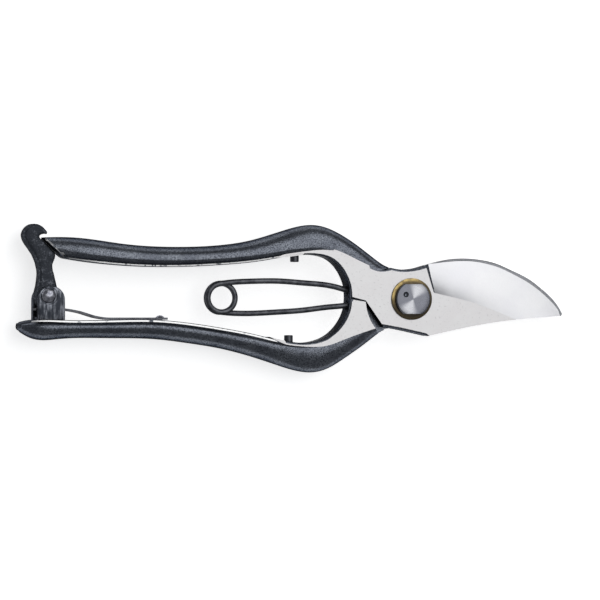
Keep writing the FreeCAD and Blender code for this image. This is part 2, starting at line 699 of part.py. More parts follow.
UPPER_LEG = ((-57.3, 6.3), (-48.0, 6.35), (-38.0, 5.65), (-29.0, 4.75))
LOWER_LEG = ((-57.3, -5.1), (-48.0, -4.65), (-38.0, -3.95), (-29.0, -2.85))
COIL_TURNS = 1.5
COIL_STEP = 30
LEG_GAP = 0.2
LEG_STRAIGHT = 1.5


def coil_point(angle, turned):
    """A point of the coil's centre line, which sinks one pitch in each turn."""
    radians = math.radians(angle)
    height = MIDDLE + size["coil_pitch"] * (COIL_TURNS / 2 - turned / 360)
    return Vector(
        size["coil_x"] + size["coil_radius"] * math.cos(radians),
        size["coil_y"] + size["coil_radius"] * math.sin(radians),
        height,
    )


def leg_points(plan, socket_y, lean, coil_height):
    """A leg's centre line from the coil to its end, easing from the coil's height to the middle."""
    tip = size["leg_insertion"]
    way = Vector(math.cos(lean), math.sin(lean), 0)
    wall = Vector(size["socket_x"], socket_y, 0)
    before, end = wall - way * LEG_STRAIGHT, wall + way * tip
    route = list(plan) + [(before.x, before.y), (end.x, end.y)]
    ease = [1 - ((x - size["coil_x"]) / (end.x - size["coil_x"])) ** 2 for x, y in route]
    return [Vector(x, y, MIDDLE + (coil_height - MIDDLE) * e) for (x, y), e in zip(route, ease)]


def wire(points):
    """A round wire along a smooth line through points."""
    path = Part.Wire([curve(points)])
    start = points[0]
    tangent = path.Edges[0].tangentAt(path.Edges[0].FirstParameter)
    ring = Part.Wire([Part.Circle(start, tangent, size["wire_radius"]).toShape()])
    return path.makePipeShell([ring], True, True)


def make_spring_upper():
    """The upper leg and the whole coil, from the leg's end in its socket to the coil's foot."""
    turns = [coil_point(90 + turned, turned) for turned in range(0, int(360 * COIL_TURNS) + 1, COIL_STEP)]
    leg = leg_points(UPPER_LEG, size["socket_upper_y"], SOCKET_LEAN, turns[0].z)
    return wire(leg[::-1] + turns)


def make_spring_lower():
    """The lower leg, which carries on from the coil's foot to its end in the hook arm's socket."""
    foot = coil_point(270, 360 * COIL_TURNS)
    leg = leg_points(LOWER_LEG, size["socket_lower_y"], SOCKET_LEAN_LOWER, foot.z)
    return wire([foot + Vector(LEG_GAP, 0, 0)] + leg)


# ---------------------------------------------------------------- the assembly

make_bolt()
make_washer("washer_front", FRONT_TERM)
make_washer("washer_back", "dimensions.nut_height")
make_nut()
make_peg("peg_upper", "dimensions.peg_upper_x", "dimensions.peg_upper_y", -1)
make_peg("peg_lower", "dimensions.peg_lower_x", "dimensions.peg_lower_y", 1)
feature("latch", make_latch())
make_bracket()
feature("leaf_spring", make_leaf())
feature("spring_upper", make_spring_upper())
feature("spring_lower", make_spring_lower())

pin_length = "(dimensions.latch_thickness + 2 * dimensions.latch_side_gap + 2 * dimensions.ear_thickness)"
latch_pin = make_rivet(
    "latch_pin",
    ("dimensions.latch_pin_radius", "dimensions.latch_pin_head", "dimensions.latch_pin_dome"),
    pin_length, ("top", "bottom"),
)
latch_pin.setExpression("Placement.Base.x", "dimensions.latch_x")
latch_pin.setExpression("Placement.Base.y", "dimensions.latch_y")
latch_pin.setExpression("Placement.Base.z", f"{MIDDLE_TERM} - {pin_length} / 2")

leaf_rivet = make_rivet(
    "leaf_rivet",
    ("dimensions.leaf_rivet_radius", "dimensions.leaf_rivet_head", "dimensions.leaf_rivet_dome"),
    "dimensions.leaf_rivet_length", ("top",),
)
leaf_rivet.Placement = Placement(Vector(0, 0, 0), Rotation(Vector(1, 0, 0), -90))
leaf_rivet.setExpression("Placement.Base.x", "dimensions.leaf_rivet_x")
leaf_rivet.setExpression("Placement.Base.z", MIDDLE_TERM)
leaf_rivet.setExpression(
    "Placement.Base.y",
    "dimensions.bracket_base_y + dimensions.leaf_lift + dimensions.leaf_thickness"
    " - dimensions.leaf_rivet_length",
)

NODES = (
    "blade_arm", "hook_arm", "pivot_bolt", "pivot_nut", "washer_front", "washer_back",
    "peg_upper", "peg_lower", "spring_upper", "spring_lower", "latch", "latch_bracket",
    "latch_pin", "leaf_spring", "leaf_rivet",
)

doc.recompute()
for made in doc.Objects:
    if "Invalid" in made.State or "Error" in made.State:
        raise ValueError(f"{made.Label} did not compute")
nodes = {made.Label: made for made in doc.Objects if made.Label in NODES}
if set(nodes) != set(NODES):
    raise ValueError("a sub-part is missing")
for label, made in nodes.items():
    if made.Shape.isNull() or not made.Shape.isValid() or len(made.Shape.Solids) != 1:
        raise ValueError(f"{label} is not one valid solid")

os.makedirs("parts", exist_ok=True)
for label, made in nodes.items():
    made.Shape.exportStep(f"parts/{label}.step")
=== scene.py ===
"""Forged bypass secateurs: black handles, polished plates and blade, brass-washered pivot bolt."""

import math

import bmesh
import bpy
import numpy as np
from mathutils import Matrix, Vector, noise


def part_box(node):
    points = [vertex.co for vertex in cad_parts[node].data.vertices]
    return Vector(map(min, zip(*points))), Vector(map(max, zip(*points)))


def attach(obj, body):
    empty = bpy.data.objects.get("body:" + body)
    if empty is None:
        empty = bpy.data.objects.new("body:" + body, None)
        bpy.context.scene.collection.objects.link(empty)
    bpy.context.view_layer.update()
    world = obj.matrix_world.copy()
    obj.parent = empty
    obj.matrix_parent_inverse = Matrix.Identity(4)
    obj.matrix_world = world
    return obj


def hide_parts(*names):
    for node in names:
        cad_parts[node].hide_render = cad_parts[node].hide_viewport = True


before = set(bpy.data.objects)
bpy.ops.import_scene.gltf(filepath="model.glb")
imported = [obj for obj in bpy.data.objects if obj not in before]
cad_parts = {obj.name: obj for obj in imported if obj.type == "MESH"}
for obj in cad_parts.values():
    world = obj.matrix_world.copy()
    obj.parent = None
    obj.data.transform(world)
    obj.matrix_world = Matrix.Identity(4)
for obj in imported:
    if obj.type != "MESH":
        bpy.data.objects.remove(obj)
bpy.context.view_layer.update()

MM = 0.001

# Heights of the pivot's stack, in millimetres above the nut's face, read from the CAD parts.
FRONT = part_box("washer_front")[0].z / MM
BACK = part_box("washer_back")[1].z / MM
MIDDLE = (FRONT + BACK) / 2
PLATE = FRONT - MIDDLE
HEAD_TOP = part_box("pivot_bolt")[1].z / MM
PLATE_GAP = 0.03
STEP_RADIUS = 16.8
BOLT_RADIUS = 4.0
BORE_ROOM = 0.05
WASHER_THICKNESS = 0.8

# How the meshes are made: the angle in degrees that stays a crease, the sides of a full round,
# and how far a cutting tool runs past what it cuts.
CREASE = 35.0
ROUND_SIDES = 96
OVERCUT = 1.0


# ---------------------------------------------------------------- mesh helpers

def smooth_line(points, count):
    """Evenly spaced points on the natural cubic line through points, of any number of columns."""
    p = np.array(points, float)
    steps = np.linalg.norm(np.diff(p[:, :4], axis=0), axis=1)
    t = np.concatenate([[0.0], np.cumsum(steps)])
    size = len(p)
    system, right = np.eye(size), np.zeros_like(p)
    for i in range(1, size - 1):
        system[i, i - 1:i + 2] = steps[i - 1], 2 * (steps[i - 1] + steps[i]), steps[i]
        right[i] = 6 * ((p[i + 1] - p[i]) / steps[i] - (p[i] - p[i - 1]) / steps[i - 1])
    bend = np.linalg.solve(system, right)
    where = np.linspace(0, t[-1], count)
    k = np.clip(np.searchsorted(t, where) - 1, 0, size - 2)
    span = steps[k][:, None]
    a = (t[k + 1] - where)[:, None]
    b = (where - t[k])[:, None]
    return (
        bend[k] * a**3 / (6 * span) + bend[k + 1] * b**3 / (6 * span)
        + (p[k] / span - bend[k] * span / 6) * a + (p[k + 1] / span - bend[k + 1] * span / 6) * b
    )


def closed_outline(stretches, spacing=0.7):
    """Plan points round a closed outline: stretches of two points are straight."""
    outline = []
    for stretch in stretches:
        length = sum(math.dist(p, q) for p, q in zip(stretch, stretch[1:]))
        count = max(2, int(length / spacing) + 1) if len(stretch) > 2 else 2
        outline += [tuple(p) for p in smooth_line(stretch, count)[:-1]]
    return outline


def loft(rings, materials=None):
    """A closed bmesh skin through rings of equal size, extruded from one ring to the next.

    materials gives the material of the strip that starts at each point of a ring.
    """
    bm = bmesh.new()
    size = len(rings[0])
    made = bmesh.ops.create_circle(bm, cap_ends=True, radius=1.0, segments=size)
    ring = made["verts"]
    for vert, place in zip(ring, rings[0]):
        vert.co = Vector(place) * MM
    for places in rings[1:]:
        edges = [bm.edges.get((ring[i], ring[(i + 1) % size])) for i in range(size)]
        grown = bmesh.ops.extrude_edge_only(bm, edges=edges)["geom"]
        fresh = {g for g in grown if isinstance(g, bmesh.types.BMVert)}
        following = [
            next(e.other_vert(v) for e in v.link_edges if e.other_vert(v) in fresh) for v in ring
        ]
        if materials:
            for i, material in enumerate(materials):
                j = (i + 1) % size
                face = bm.faces.get((ring[i], ring[j], following[j], following[i]))
                face.material_index = material
        for vert, place in zip(following, places):
            vert.co = Vector(place) * MM
        ring = following
    bm.faces.new(ring)
    bmesh.ops.recalc_face_normals(bm, faces=bm.faces)
    return bm


def finish_piece(bm, name, materials, crease=CREASE):
    """Turns a bmesh into an object with smooth faces and sharp creases."""
    mesh = bpy.data.meshes.new(name)
    bm.to_mesh(mesh)
    bm.free()
    for material in materials:
        mesh.materials.append(material)
    mesh.shade_smooth()
    mesh.set_sharp_from_angle(angle=math.radians(crease))
    piece = bpy.data.objects.new(name, mesh)
    bpy.context.scene.collection.objects.link(piece)
    return piece


def settle(piece):
    """Applies a piece's modifiers to its mesh."""
    bpy.context.view_layer.update()
    evaluated = piece.evaluated_get(bpy.context.evaluated_depsgraph_get())
    mesh = bpy.data.meshes.new_from_object(evaluated)
    piece.modifiers.clear()
    piece.data = mesh
    mesh.shade_smooth()
    mesh.set_sharp_from_angle(angle=math.radians(CREASE))


def combine(piece, tool, operation):
    """Joins a tool to a piece, or cuts it away, and removes the tool."""
    step = piece.modifiers.new("shape", "BOOLEAN")
    step.operation = operation
    step.solver = "EXACT"
    step.object = tool
    settle(piece)
    bpy.data.objects.remove(tool)


def drum(name, radius, bottom, top, centre=(0, 0)):
    """An upright cylinder, for a bore or a lap's step."""
    bm = bmesh.new()
    place = Matrix.Translation(Vector((*centre, (bottom + top) / 2)) * MM)
    bmesh.ops.create_cone(
        bm, cap_ends=True, segments=ROUND_SIDES, radius1=radius * MM, radius2=radius * MM,
        depth=(top - bottom) * MM, matrix=place,
    )
    return finish_piece(bm, name, [])


# ---------------------------------------------------------------- the two forgings

# A rung of a handle's ladder: inner point, outer point, half thickness, where the crown stands
# from 0 inside to 1 outside, and the inner edge's share of the half thickness.
BLADE_HANDLE = (
    (-127.2, 14.5, -134.8, 21.8, 4.4, 0.35, 0.70),
    (-121.0, 13.5, -124.6, 21.9, 5.7, 0.35, 0.72),
    (-104.5, 11.8, -104.8, 19.6, 6.0, 0.35, 0.74),
    (-87.0, 11.3, -87.0, 18.5, 6.0, 0.35, 0.74),
    (-70.0, 12.0, -70.5, 19.0, 6.0, 0.35, 0.74),
    (-56.0, 13.3, -57.5, 20.9, 5.9, 0.32, 0.76),
    (-45.0, 15.1, -46.5, 24.1, 5.6, 0.26, 0.80),
    (-38.0, 15.9, -37.5, 26.2, 5.2, 0.24, 0.87),
    (-31.5, 16.0, -30.2, 25.4, 4.9, 0.28, 0.94),
    (-27.1, 14.3, -23.0, 21.9, 4.74, 0.37, 0.99),
    (-23.9, 10.9, -16.2, 17.2, 4.72, 0.50, 0.99),
    (-21.8, 6.1, -9.8, 12.5, 4.72, 0.68, 0.99),
)
HOOK_HANDLE = (
    (-143.4, -8.4, -143.4, -11.0, 2.0, 0.35, 0.70),
    (-138.4, -7.4, -138.2, -13.9, 5.0, 0.35, 0.72),
    (-128.0, -7.4, -128.0, -14.2, 6.0, 0.35, 0.74),
    (-110.0, -7.4, -110.0, -13.9, 6.0, 0.35, 0.74),
    (-92.5, -7.4, -92.5, -14.3, 6.0, 0.35, 0.74),
    (-81.0, -8.5, -81.5, -15.6, 6.0, 0.35, 0.74),
    (-69.0, -10.3, -70.0, -17.4, 6.0, 0.35, 0.74),
    (-57.3, -12.5, -58.9, -20.1, 5.9, 0.32, 0.76),
    (-46.5, -15.0, -48.4, -23.4, 5.6, 0.24, 0.80),
    (-38.5, -15.8, -38.0, -26.0, 5.2, 0.20, 0.87),
    (-32.0, -15.5, -30.4, -25.0, 4.9, 0.20, 0.94),
    (-27.5, -13.3, -23.2, -20.9, 4.74, 0.28, 0.99),
    (-24.2, -9.5, -15.8, -15.8, 4.72, 0.48, 0.99),
    (-22.1, -5.1, -10.5, -11.9, 4.72, 0.68, 0.99),
)
BLADE_SHOULDER = (-17.6, 8.4, -7.5, 11.3, 4.70, 0.80, 0.99)
HOOK_SHOULDER = (-18.2, -6.5, -8.5, -10.9, 4.70, 0.80, 0.99)
BAR_RINGS = 110
CROWN_STEPS = 5
SHOULDER_STEPS = 11
SHOULDER_POWER = 2.3
BLADE_LAND = 0.45
HOOK_LAND = 0.55
LAND_RISE = 0.05
ROUND_DROP = 0.4
ROUND_WIDTH = 0.25
END_ROUND = 0.5
END_CAPS = ((0.80, END_ROUND), (0.93, 0.3))
END_LINE_SHARE = 0.45

# Plan corners and outlines of the plates and of the flats round the loop.
NECK = (-7.3, 11.1)
HOOK_NECK = (-10.1, 9.7)
STOP_LEFT = (-22.3, 0.4)
STOP_RIGHT = (-16.75, -0.5)
STOP_GAP = 0.04
BLADE_CROTCH = (
    (
        NECK, (-11.5, 10.6), (-15.0, 11.7), (-20.4, 14.2), (-26.3, 16.9), (-32.1, 18.3),
        (-38.0, 18.1), (-44.0, 16.7), (-50.0, 14.6),
    ),
    (
        (-50.0, 14.6), (-45.5, 14.9), (-39.7, 15.6), (-34.0, 15.5), (-29.6, 14.3), (-26.3, 11.7),
        (-23.9, 8.0), (-22.6, 4.3), STOP_LEFT,
    ),
    (STOP_LEFT, STOP_RIGHT),
)
STOP_LEFT_LOWER = (STOP_LEFT[0], STOP_LEFT[1] - STOP_GAP)
STOP_RIGHT_LOWER = (STOP_RIGHT[0], STOP_RIGHT[1] - STOP_GAP)
HOOK_ROOT = (-8.6, -10.6)
HOOK_CROTCH = (
    (STOP_RIGHT_LOWER, STOP_LEFT_LOWER),
    (
        STOP_LEFT_LOWER, (-22.7, -3.2), (-24.1, -6.9), (-26.6, -10.4), (-30.0, -13.2),
        (-34.3, -14.9), (-39.7, -15.5), (-45.5, -14.9), (-52.0, -13.4),
    ),
    (
        (-52.0, -13.4), (-44.5, -16.6), (-38.0, -17.4), (-32.1, -16.9), (-26.3, -15.0),
        (-20.4, -12.8), (-15.0, -11.0), (-11.5, -10.2), HOOK_ROOT,
    ),
)
PLATE_HEEL = (-10.1, -9.9)
BLADE_HEEL = (6.4, 12.2)
SPINE_CORNER = (6.0, -13.2)
BLADE_TIP = (56.0, -6.1)
BLADE_PLATE = (
    (STOP_RIGHT, PLATE_HEEL),
    (PLATE_HEEL, (-5.0, -10.8), (0.2, -11.9), SPINE_CORNER),
    (SPINE_CORNER, (20.4, -10.1), (33.0, -8.0), (44.2, -6.9), BLADE_TIP),
    (
        BLADE_TIP, (55.5, -4.5), (53.9, -2.2), (51.4, 0.3), (48.4, 2.9), (43.6, 6.2), (38.1, 9.1),
        (32.6, 11.5), (27.0, 13.1), (19.5, 13.8), (13.0, 13.3), BLADE_HEEL,
    ),
    (BLADE_HEEL, (3.1, 11.2), (-0.5, 10.6), (-4.0, 10.5), NECK),
)
HOOK_HEEL = (6.3, 12.0)
HOOK_TIP = (56.9, -5.3)
HOOK_TIP_INNER = (56.4, -6.1)
HOOK_PLATE = (
    (HOOK_ROOT, (-4.0, -10.2), (1.0, -10.4), (5.2, -9.6), (7.6, -6.6)),
    (
        (7.6, -6.6), (9.6, -1.6), (13.4, 2.9), (19.5, 5.8), (28.0, 6.2), (37.5, 3.6), (46.0, -0.6),
        (52.0, -4.0), HOOK_TIP_INNER,
    ),
    (HOOK_TIP_INNER, HOOK_TIP),
    (
        HOOK_TIP, (55.0, -2.1), (52.8, 0.5), (50.3, 2.8), (47.0, 5.5), (44.1, 7.4), (38.1, 10.3),
        (32.7, 12.6), (27.0, 13.9), (19.1, 14.4), (13.0, 13.7), HOOK_HEEL,
    ),
    (HOOK_HEEL, (3.1, 11.0), (-0.5, 10.4), (-5.0, 10.0), HOOK_NECK),
    (HOOK_NECK, STOP_RIGHT_LOWER),
)

# The hollow grind: its ridge and cutting edge in plan, the ridge's height above the middle by its
# share of the length, and the scoop it starts with.
RIDGE = ((8.8, 2.1), (17.8, 0.0), (28.0, -3.1), (41.0, -8.3), (56.5, -12.5))
RIDGE_HEIGHTS = ((0.0, 4.8), (0.5, 4.8), (0.72, 4.2), (0.86, 3.2), (1.0, 2.0))
EDGE = ((7.4, 12.6), (13.0, 13.3), (22.0, 13.8), (32.7, 11.8), (43.9, 6.6), (51.8, 0.65), (57.3, -6.8))
GRIND_SECTIONS = 60
EDGE_THICKNESS = 0.35
EDGE_LEFT = 0.1
HOLLOW_DEPTH = 0.45
BEVEL_STEPS = 16
HONED_SHARE = 0.022
PAST_EDGE = 3.0
PAST_TOP = 2.0
SCOOP = Vector((-2.3, -0.15, 0))
SCOOP_STEPS = 6
SCOOP_AT_RIDGE = 0.25
SCOOP_TOP = FRONT + 0.3

# Spring sockets in the loop's wall.
SOCKET_X = -22.4
SOCKET_UPPER_Y = 3.1
SOCKET_LOWER_Y = -2.2
SOCKET_RADIUS = 1.7
SOCKET_DEPTH = 3.0
SOCKET_LEAN = math.radians(-16)
SOCKET_LEAN_LOWER = math.radians(8)

# Chamfers, and where each finish starts and stops.
EDGE_CHAMFER = 0.9
LOOP_CHAMFER = 0.6
LOOP_FOOT_CHAMFER = 0.8
BITE_CHAMFER = 0.5
STOP_CHAMFER = 0.45
WALL = 0.4
WALLS_BLACK_TO = 5.5
# Left of this x the lap's face is painted black as shade.
LAP_SHADE_PAINTED_TO = -7.0
TOE_BLACK_TO = -139.0
END_HIGHLIGHT_LINE = (BLADE_HANDLE[0][2:4], BLADE_HANDLE[0][0:2])
END_HIGHLIGHT_FROM, END_HIGHLIGHT_TO = 0.4, 0.95


def bar_section(rung, land):
    """One ring of a handle: inner flat, black round, worn land, crown, shoulder, and the same behind."""
    inner = Vector((rung[0], rung[1], 0))
    run = Vector((rung[2], rung[3], 0)) - inner
    half, crown, edge = rung[4:7]
    rise = [(0.0, edge * half - ROUND_DROP), (ROUND_WIDTH / run.length, edge * half)]
    rise.append(((ROUND_WIDTH + land) / run.length, edge * half + LAND_RISE))
    first = rise[-1][0]
    for step in range(1, CROWN_STEPS + 1):
        share = step / CROWN_STEPS
        across = first + (crown - first) * share
        dome = half * (edge + (1 - edge) * math.sin(share * math.pi / 2))
        rise.append((across, dome + LAND_RISE * (1 - share)))
    for step in range(1, SHOULDER_STEPS + 1):
        angle = step / SHOULDER_STEPS * math.pi / 2
        across = crown + (1 - crown) * math.sin(angle) ** (2 / SHOULDER_POWER)
        rise.append((across, half * math.cos(angle)))
    front = [inner + run * u + Vector((0, 0, MIDDLE + z)) for u, z in rise]
    back = [inner + run * u + Vector((0, 0, MIDDLE - z)) for u, z in rise[:-1]]
    return front + back[::-1]


def bar_materials(size):
    """Worn steel on the lands, black everywhere else."""
    strips = [BLACK] * size
    strips[1] = WORN
    strips[size - 3] = WORN
    return strips


def shrunk(ring, amount, along):
    """A ring drawn in towards its centre and moved along, which rounds a bar's end."""
    centre = sum(ring, Vector()) / len(ring)
    return [centre + (p - centre) * amount + along for p in ring]


def forged_bar(ladder, land):
    """A handle: rings through its ladder, with a rounded far end."""
    rungs = list(smooth_line(ladder, BAR_RINGS))
    rungs.insert(1, rungs[0] + (rungs[1] - rungs[0]) * END_LINE_SHARE)
    rings = [bar_section(rung, land) for rung in rungs]
    outward = (sum(rings[0], Vector()) - sum(rings[1], Vector())).normalized()
    rings[0] = [p - outward * END_ROUND for p in rings[0]]
    rings[1] = [p - outward * END_ROUND for p in rings[1]]
    ends = [shrunk(rings[0], amount, outward * push) for amount, push in END_CAPS]
    return loft(ends + rings, bar_materials(len(rings[0])))


def grind_materials(size):
    """Ground steel, with the honed strip last before the edge."""
    strips = [GROUND] * size
    strips[BEVEL_STEPS - 1] = HONED
    return strips


def grinding_tool():
    """The metal that the hollow grind takes away, from the plunge to past the tip."""
    ridge = smooth_line(RIDGE, GRIND_SECTIONS)
    edge = smooth_line(EDGE, GRIND_SECTIONS)
    level = np.minimum(smooth_line(RIDGE_HEIGHTS, GRIND_SECTIONS)[:, 1], PLATE)
    rings = []
    for (rx, ry), (ex, ey), height in zip(ridge, edge, level):
        high = Vector((rx, ry, MIDDLE + height))
        low = Vector((ex, ey, MIDDLE + EDGE_THICKNESS))
        outward = Vector((ex - rx, ey - ry, 0)).normalized() * PAST_EDGE
        bevel = []
        for step in range(BEVEL_STEPS + 1):
            share = step / BEVEL_STEPS
            if step == BEVEL_STEPS - 1:
                share = 1 - HONED_SHARE
            sag = 4 * HOLLOW_DEPTH * share * (1 - share)
            bevel.append(high.lerp(low, share) - Vector((0, 0, sag)))
        bevel[-1] = bevel[-1] - Vector((0, 0, EDGE_THICKNESS - EDGE_LEFT))
        past = low + outward
        top = FRONT + PAST_TOP
        rings.append(bevel + [past, Vector((past.x, past.y, top)), Vector((rx, ry, top))])
    return rings


def plunge_rings(first):
    """A scooped start to the grind: the first section, raised step by step along a quarter round."""
    past, over_ridge = BEVEL_STEPS + 1, BEVEL_STEPS + 3
    rings = []
    for step in range(SCOOP_STEPS + 1):
        angle = step / SCOOP_STEPS * math.pi / 2
        ring = []
        for i, p in enumerate(first):
            share = 0 if i == over_ridge else min(i, BEVEL_STEPS) / BEVEL_STEPS
            slide = SCOOP * math.cos(angle) * (SCOOP_AT_RIDGE + (1 - SCOOP_AT_RIDGE) * share)
            if i <= past:
                ring.append(p + slide + Vector((0, 0, (SCOOP_TOP - p.z) * (1 - math.sin(angle)))))
            else:
                near = first[0] if i == over_ridge else first[past]
                ring.append(Vector((near.x, near.y, p.z)) + slide)
        rings.append(ring)
    return rings


def paint(piece, finish, chosen):
    """Gives a finish to the faces of a piece that are chosen by their centre and normal."""
    for face in piece.data.polygons:
        if chosen(face.center / MM, face.normal):
            face.material_index = finish


def crease_between_finishes(piece):
    """Sharpens each edge between two finishes, so that a flat stays flat beside a rounded edge."""
    bm = bmesh.new()
    bm.from_mesh(piece.data)
    for edge in bm.edges:
        if len({face.material_index for face in edge.link_faces}) > 1:
            edge.smooth = False
    bm.to_mesh(piece.data)
    bm.free()


def break_edges(bm, height, boxes, width, finish, segments=3):
    """Chamfers a plate's outline at one height, in boxes of (low x, high x, low y, high y)."""
    def inside(edge, low_x, high_x, low_y, high_y):
        spots = [v.co / MM for v in edge.verts]
        return all(
            abs(p.z - height) < 0.01 and low_x <= p.x <= high_x and low_y <= p.y <= high_y for p in spots
        )

    edges = [edge for edge in bm.edges if any(inside(edge, *box) for box in boxes)]
    bmesh.ops.bevel(
        bm, geom=edges, offset=width * MM, offset_type="OFFSET", segments=segments, profile=0.5,
        affect="EDGES", material=finish,
    )


def bored(arm, y, lean):
    """Drills a spring's socket into the loop's wall."""
    bm = bmesh.new()
    way = Vector((math.cos(lean), math.sin(lean), 0))
    centre = Vector((SOCKET_X, y, MIDDLE)) + way * (SOCKET_DEPTH / 2 - OVERCUT)
    place = Matrix.Translation(centre * MM) @ way.to_track_quat("Z", "Y").to_matrix().to_4x4()
    bmesh.ops.create_cone(
        bm, cap_ends=True, segments=40, radius1=SOCKET_RADIUS * MM, radius2=SOCKET_RADIUS * MM,
        depth=(SOCKET_DEPTH + 2 * OVERCUT) * MM, matrix=place,
    )
    combine(arm, finish_piece(bm, "socket", FORGING), "DIFFERENCE")


def plate_body(plan, bottom, top, chamfers=()):
    """A plate with bright faces and chamfered edges: (height, boxes, width, finish) each."""
    bm = loft([[(x, y, z) for x, y in closed_outline(plan)] for z in (bottom, top)])
    for face in bm.faces:
        face.material_index = STEEL
    for chamfer in chamfers:
        break_edges(bm, *chamfer)
    return bm


def parted(piece, x):
    """Divides a piece's faces along an upright plane, so that they can take two finishes."""
    bm = bmesh.new()
    bm.from_mesh(piece.data)
    everything = bm.verts[:] + bm.edges[:] + bm.faces[:]
    bmesh.ops.bisect_plane(bm, geom=everything, plane_co=(x * MM, 0, 0), plane_no=(1, 0, 0))
    bm.to_mesh(piece.data)
    bm.free()


def on_painted_end_highlight(c, n):
    """Whether a face lies on the painted highlight, a bright strip beside the slanted end of the blade
    arm's handle.
    """
    start, stop = Vector(END_HIGHLIGHT_LINE[0]), Vector(END_HIGHLIGHT_LINE[1])
    way = (stop - start).normalized()
    off = abs((c.x - start.x) * way.y - (c.y - start.y) * way.x)
    return n.z > 0.3 and c.x < -120 and END_HIGHLIGHT_FROM < off < END_HIGHLIGHT_TO


def in_scoop(c, n):
    """Whether a face belongs to the scoop that the grind starts with."""
    return 4.5 < c.x < 9.5 and c.y > 1.5 and c.z > MIDDLE + 0.3 and 0.12 < n.x < 0.995


def stop_edges(height):
    """The chamfer along the faces where the two arms stop each other."""
    box = (STOP_LEFT[0] - 0.1, STOP_RIGHT[0] + 0.1, -0.6, 0.5)
    return (height, (box,), STOP_CHAMFER, BLACK, 1)


def blade_forging():
    """The blade arm: handle, crotch flats, front plate and hollow-ground blade in one piece."""
    chamfers = (
        (FRONT, ((PLATE_HEEL[0] - 0.1, SPINE_CORNER[0] + 0.1, -14, -7),), EDGE_CHAMFER, BLACK),
        (FRONT, ((-15.2, BLADE_HEEL[0] + 0.1, 7, 14),), EDGE_CHAMFER, BLACK),
        (
            FRONT, ((-40.0, -30.0, 13.5, 15.9), (-31.5, STOP_LEFT[0] + 0.1, 0.3, 15.0)),
            LOOP_CHAMFER, BLACK,
        ),
        stop_edges(FRONT),
    )
    bm = plate_body(BLADE_PLATE + BLADE_CROTCH, MIDDLE + PLATE_GAP, FRONT, chamfers)
    arm = finish_piece(bm, "blade_arm_forged", FORGING)
    bm = plate_body(BLADE_CROTCH + ((STOP_RIGHT, NECK),), BACK, MIDDLE + OVERCUT)
    crotch = finish_piece(bm, "crotch", FORGING)
    bar = finish_piece(forged_bar(BLADE_HANDLE + (BLADE_SHOULDER,), BLADE_LAND), "bar", FORGING)
    # Painted highlight: the bright worn finish along the slanted end stands in for the light its rounded
    # edge catches.
    paint(bar, WORN, on_painted_end_highlight)
    combine(bar, crotch, "UNION")
    combine(bar, drum("lap", STEP_RADIUS, BACK - 3 * OVERCUT, MIDDLE + PLATE_GAP), "DIFFERENCE")
    combine(arm, bar, "UNION")
    tool = grinding_tool()
    bm = loft(plunge_rings(tool[0])[:-1] + tool, grind_materials(len(tool[0])))
    combine(arm, finish_piece(bm, "grind", FORGING), "DIFFERENCE")
    combine(arm, drum("bore", BOLT_RADIUS + BORE_ROOM, BACK, FRONT + OVERCUT), "DIFFERENCE")
    bored(arm, SOCKET_UPPER_Y, SOCKET_LEAN)
    paint(arm, BLACK, lambda c, n: abs(n.z) < WALL and c.x < WALLS_BLACK_TO)
    # Painted shade: the scoop at the grind's start takes the black finish, standing in for the dark
    # shade and reflection in the concave plunge.
    paint(arm, BLACK, in_scoop)
    crease_between_finishes(arm)
    return arm


def hook_forging():
    """The hook arm: handle, crotch flats, back plate and counter-blade in one piece."""
    lap = MIDDLE - PLATE_GAP

    def on_lap(c, n):
        return n.z > 0.9 and abs(c.z - lap) < 0.02

    chamfers = (
        (BACK, ((-8.0, HOOK_HEEL[0] + 0.1, 7, 14),), EDGE_CHAMFER, BLACK),
        (lap, ((HOOK_HEEL[0], HOOK_TIP[0] + 0.1, 6.6, 15),), BITE_CHAMFER, HONED),
        (lap, ((38.0, HOOK_TIP[0] + 0.1, 3.7, 15),), BITE_CHAMFER, HONED),
    )
    bm = plate_body(HOOK_PLATE + HOOK_CROTCH, BACK, lap, chamfers)
    arm = finish_piece(bm, "hook_arm_forged", FORGING)
    chamfers = (
        (FRONT, ((-30.5, STOP_LEFT[0] + 0.1, -13.4, 0.4),), LOOP_CHAMFER, BLACK),
        (FRONT, ((-46.0, -29.9, -15.7, -13.1),), LOOP_FOOT_CHAMFER, BLACK),
        stop_edges(FRONT),
    )
    plan = HOOK_CROTCH + ((HOOK_ROOT, STOP_RIGHT_LOWER),)
    bm = plate_body(plan, MIDDLE - OVERCUT, FRONT, chamfers)
    crotch = finish_piece(bm, "crotch", FORGING)
    bar = finish_piece(forged_bar(HOOK_HANDLE + (HOOK_SHOULDER,), HOOK_LAND), "bar", FORGING)
    combine(bar, crotch, "UNION")
    combine(bar, drum("lap", STEP_RADIUS, lap, FRONT + 3 * OVERCUT), "DIFFERENCE")
    combine(arm, bar, "UNION")
    combine(arm, drum("bore", BOLT_RADIUS + BORE_ROOM, BACK - OVERCUT, FRONT), "DIFFERENCE")
    bored(arm, SOCKET_LOWER_Y, SOCKET_LEAN_LOWER)
    parted(arm, LAP_SHADE_PAINTED_TO)
    paint(arm, BLACK, lambda c, n: abs(n.z) < WALL and c.x < WALLS_BLACK_TO)
    paint(arm, HONED, on_lap)
    # Painted shade: the lap's face left of this line, seen down the gap beside the blade plate, takes
    # the black finish though the real face is polished steel.
    paint(arm, BLACK, lambda c, n: on_lap(c, n) and c.x < LAP_SHADE_PAINTED_TO)
    paint(arm, BLACK, lambda c, n: c.x < TOE_BLACK_TO)
    crease_between_finishes(arm)
    return arm


# ---------------------------------------------------------------- shader maths

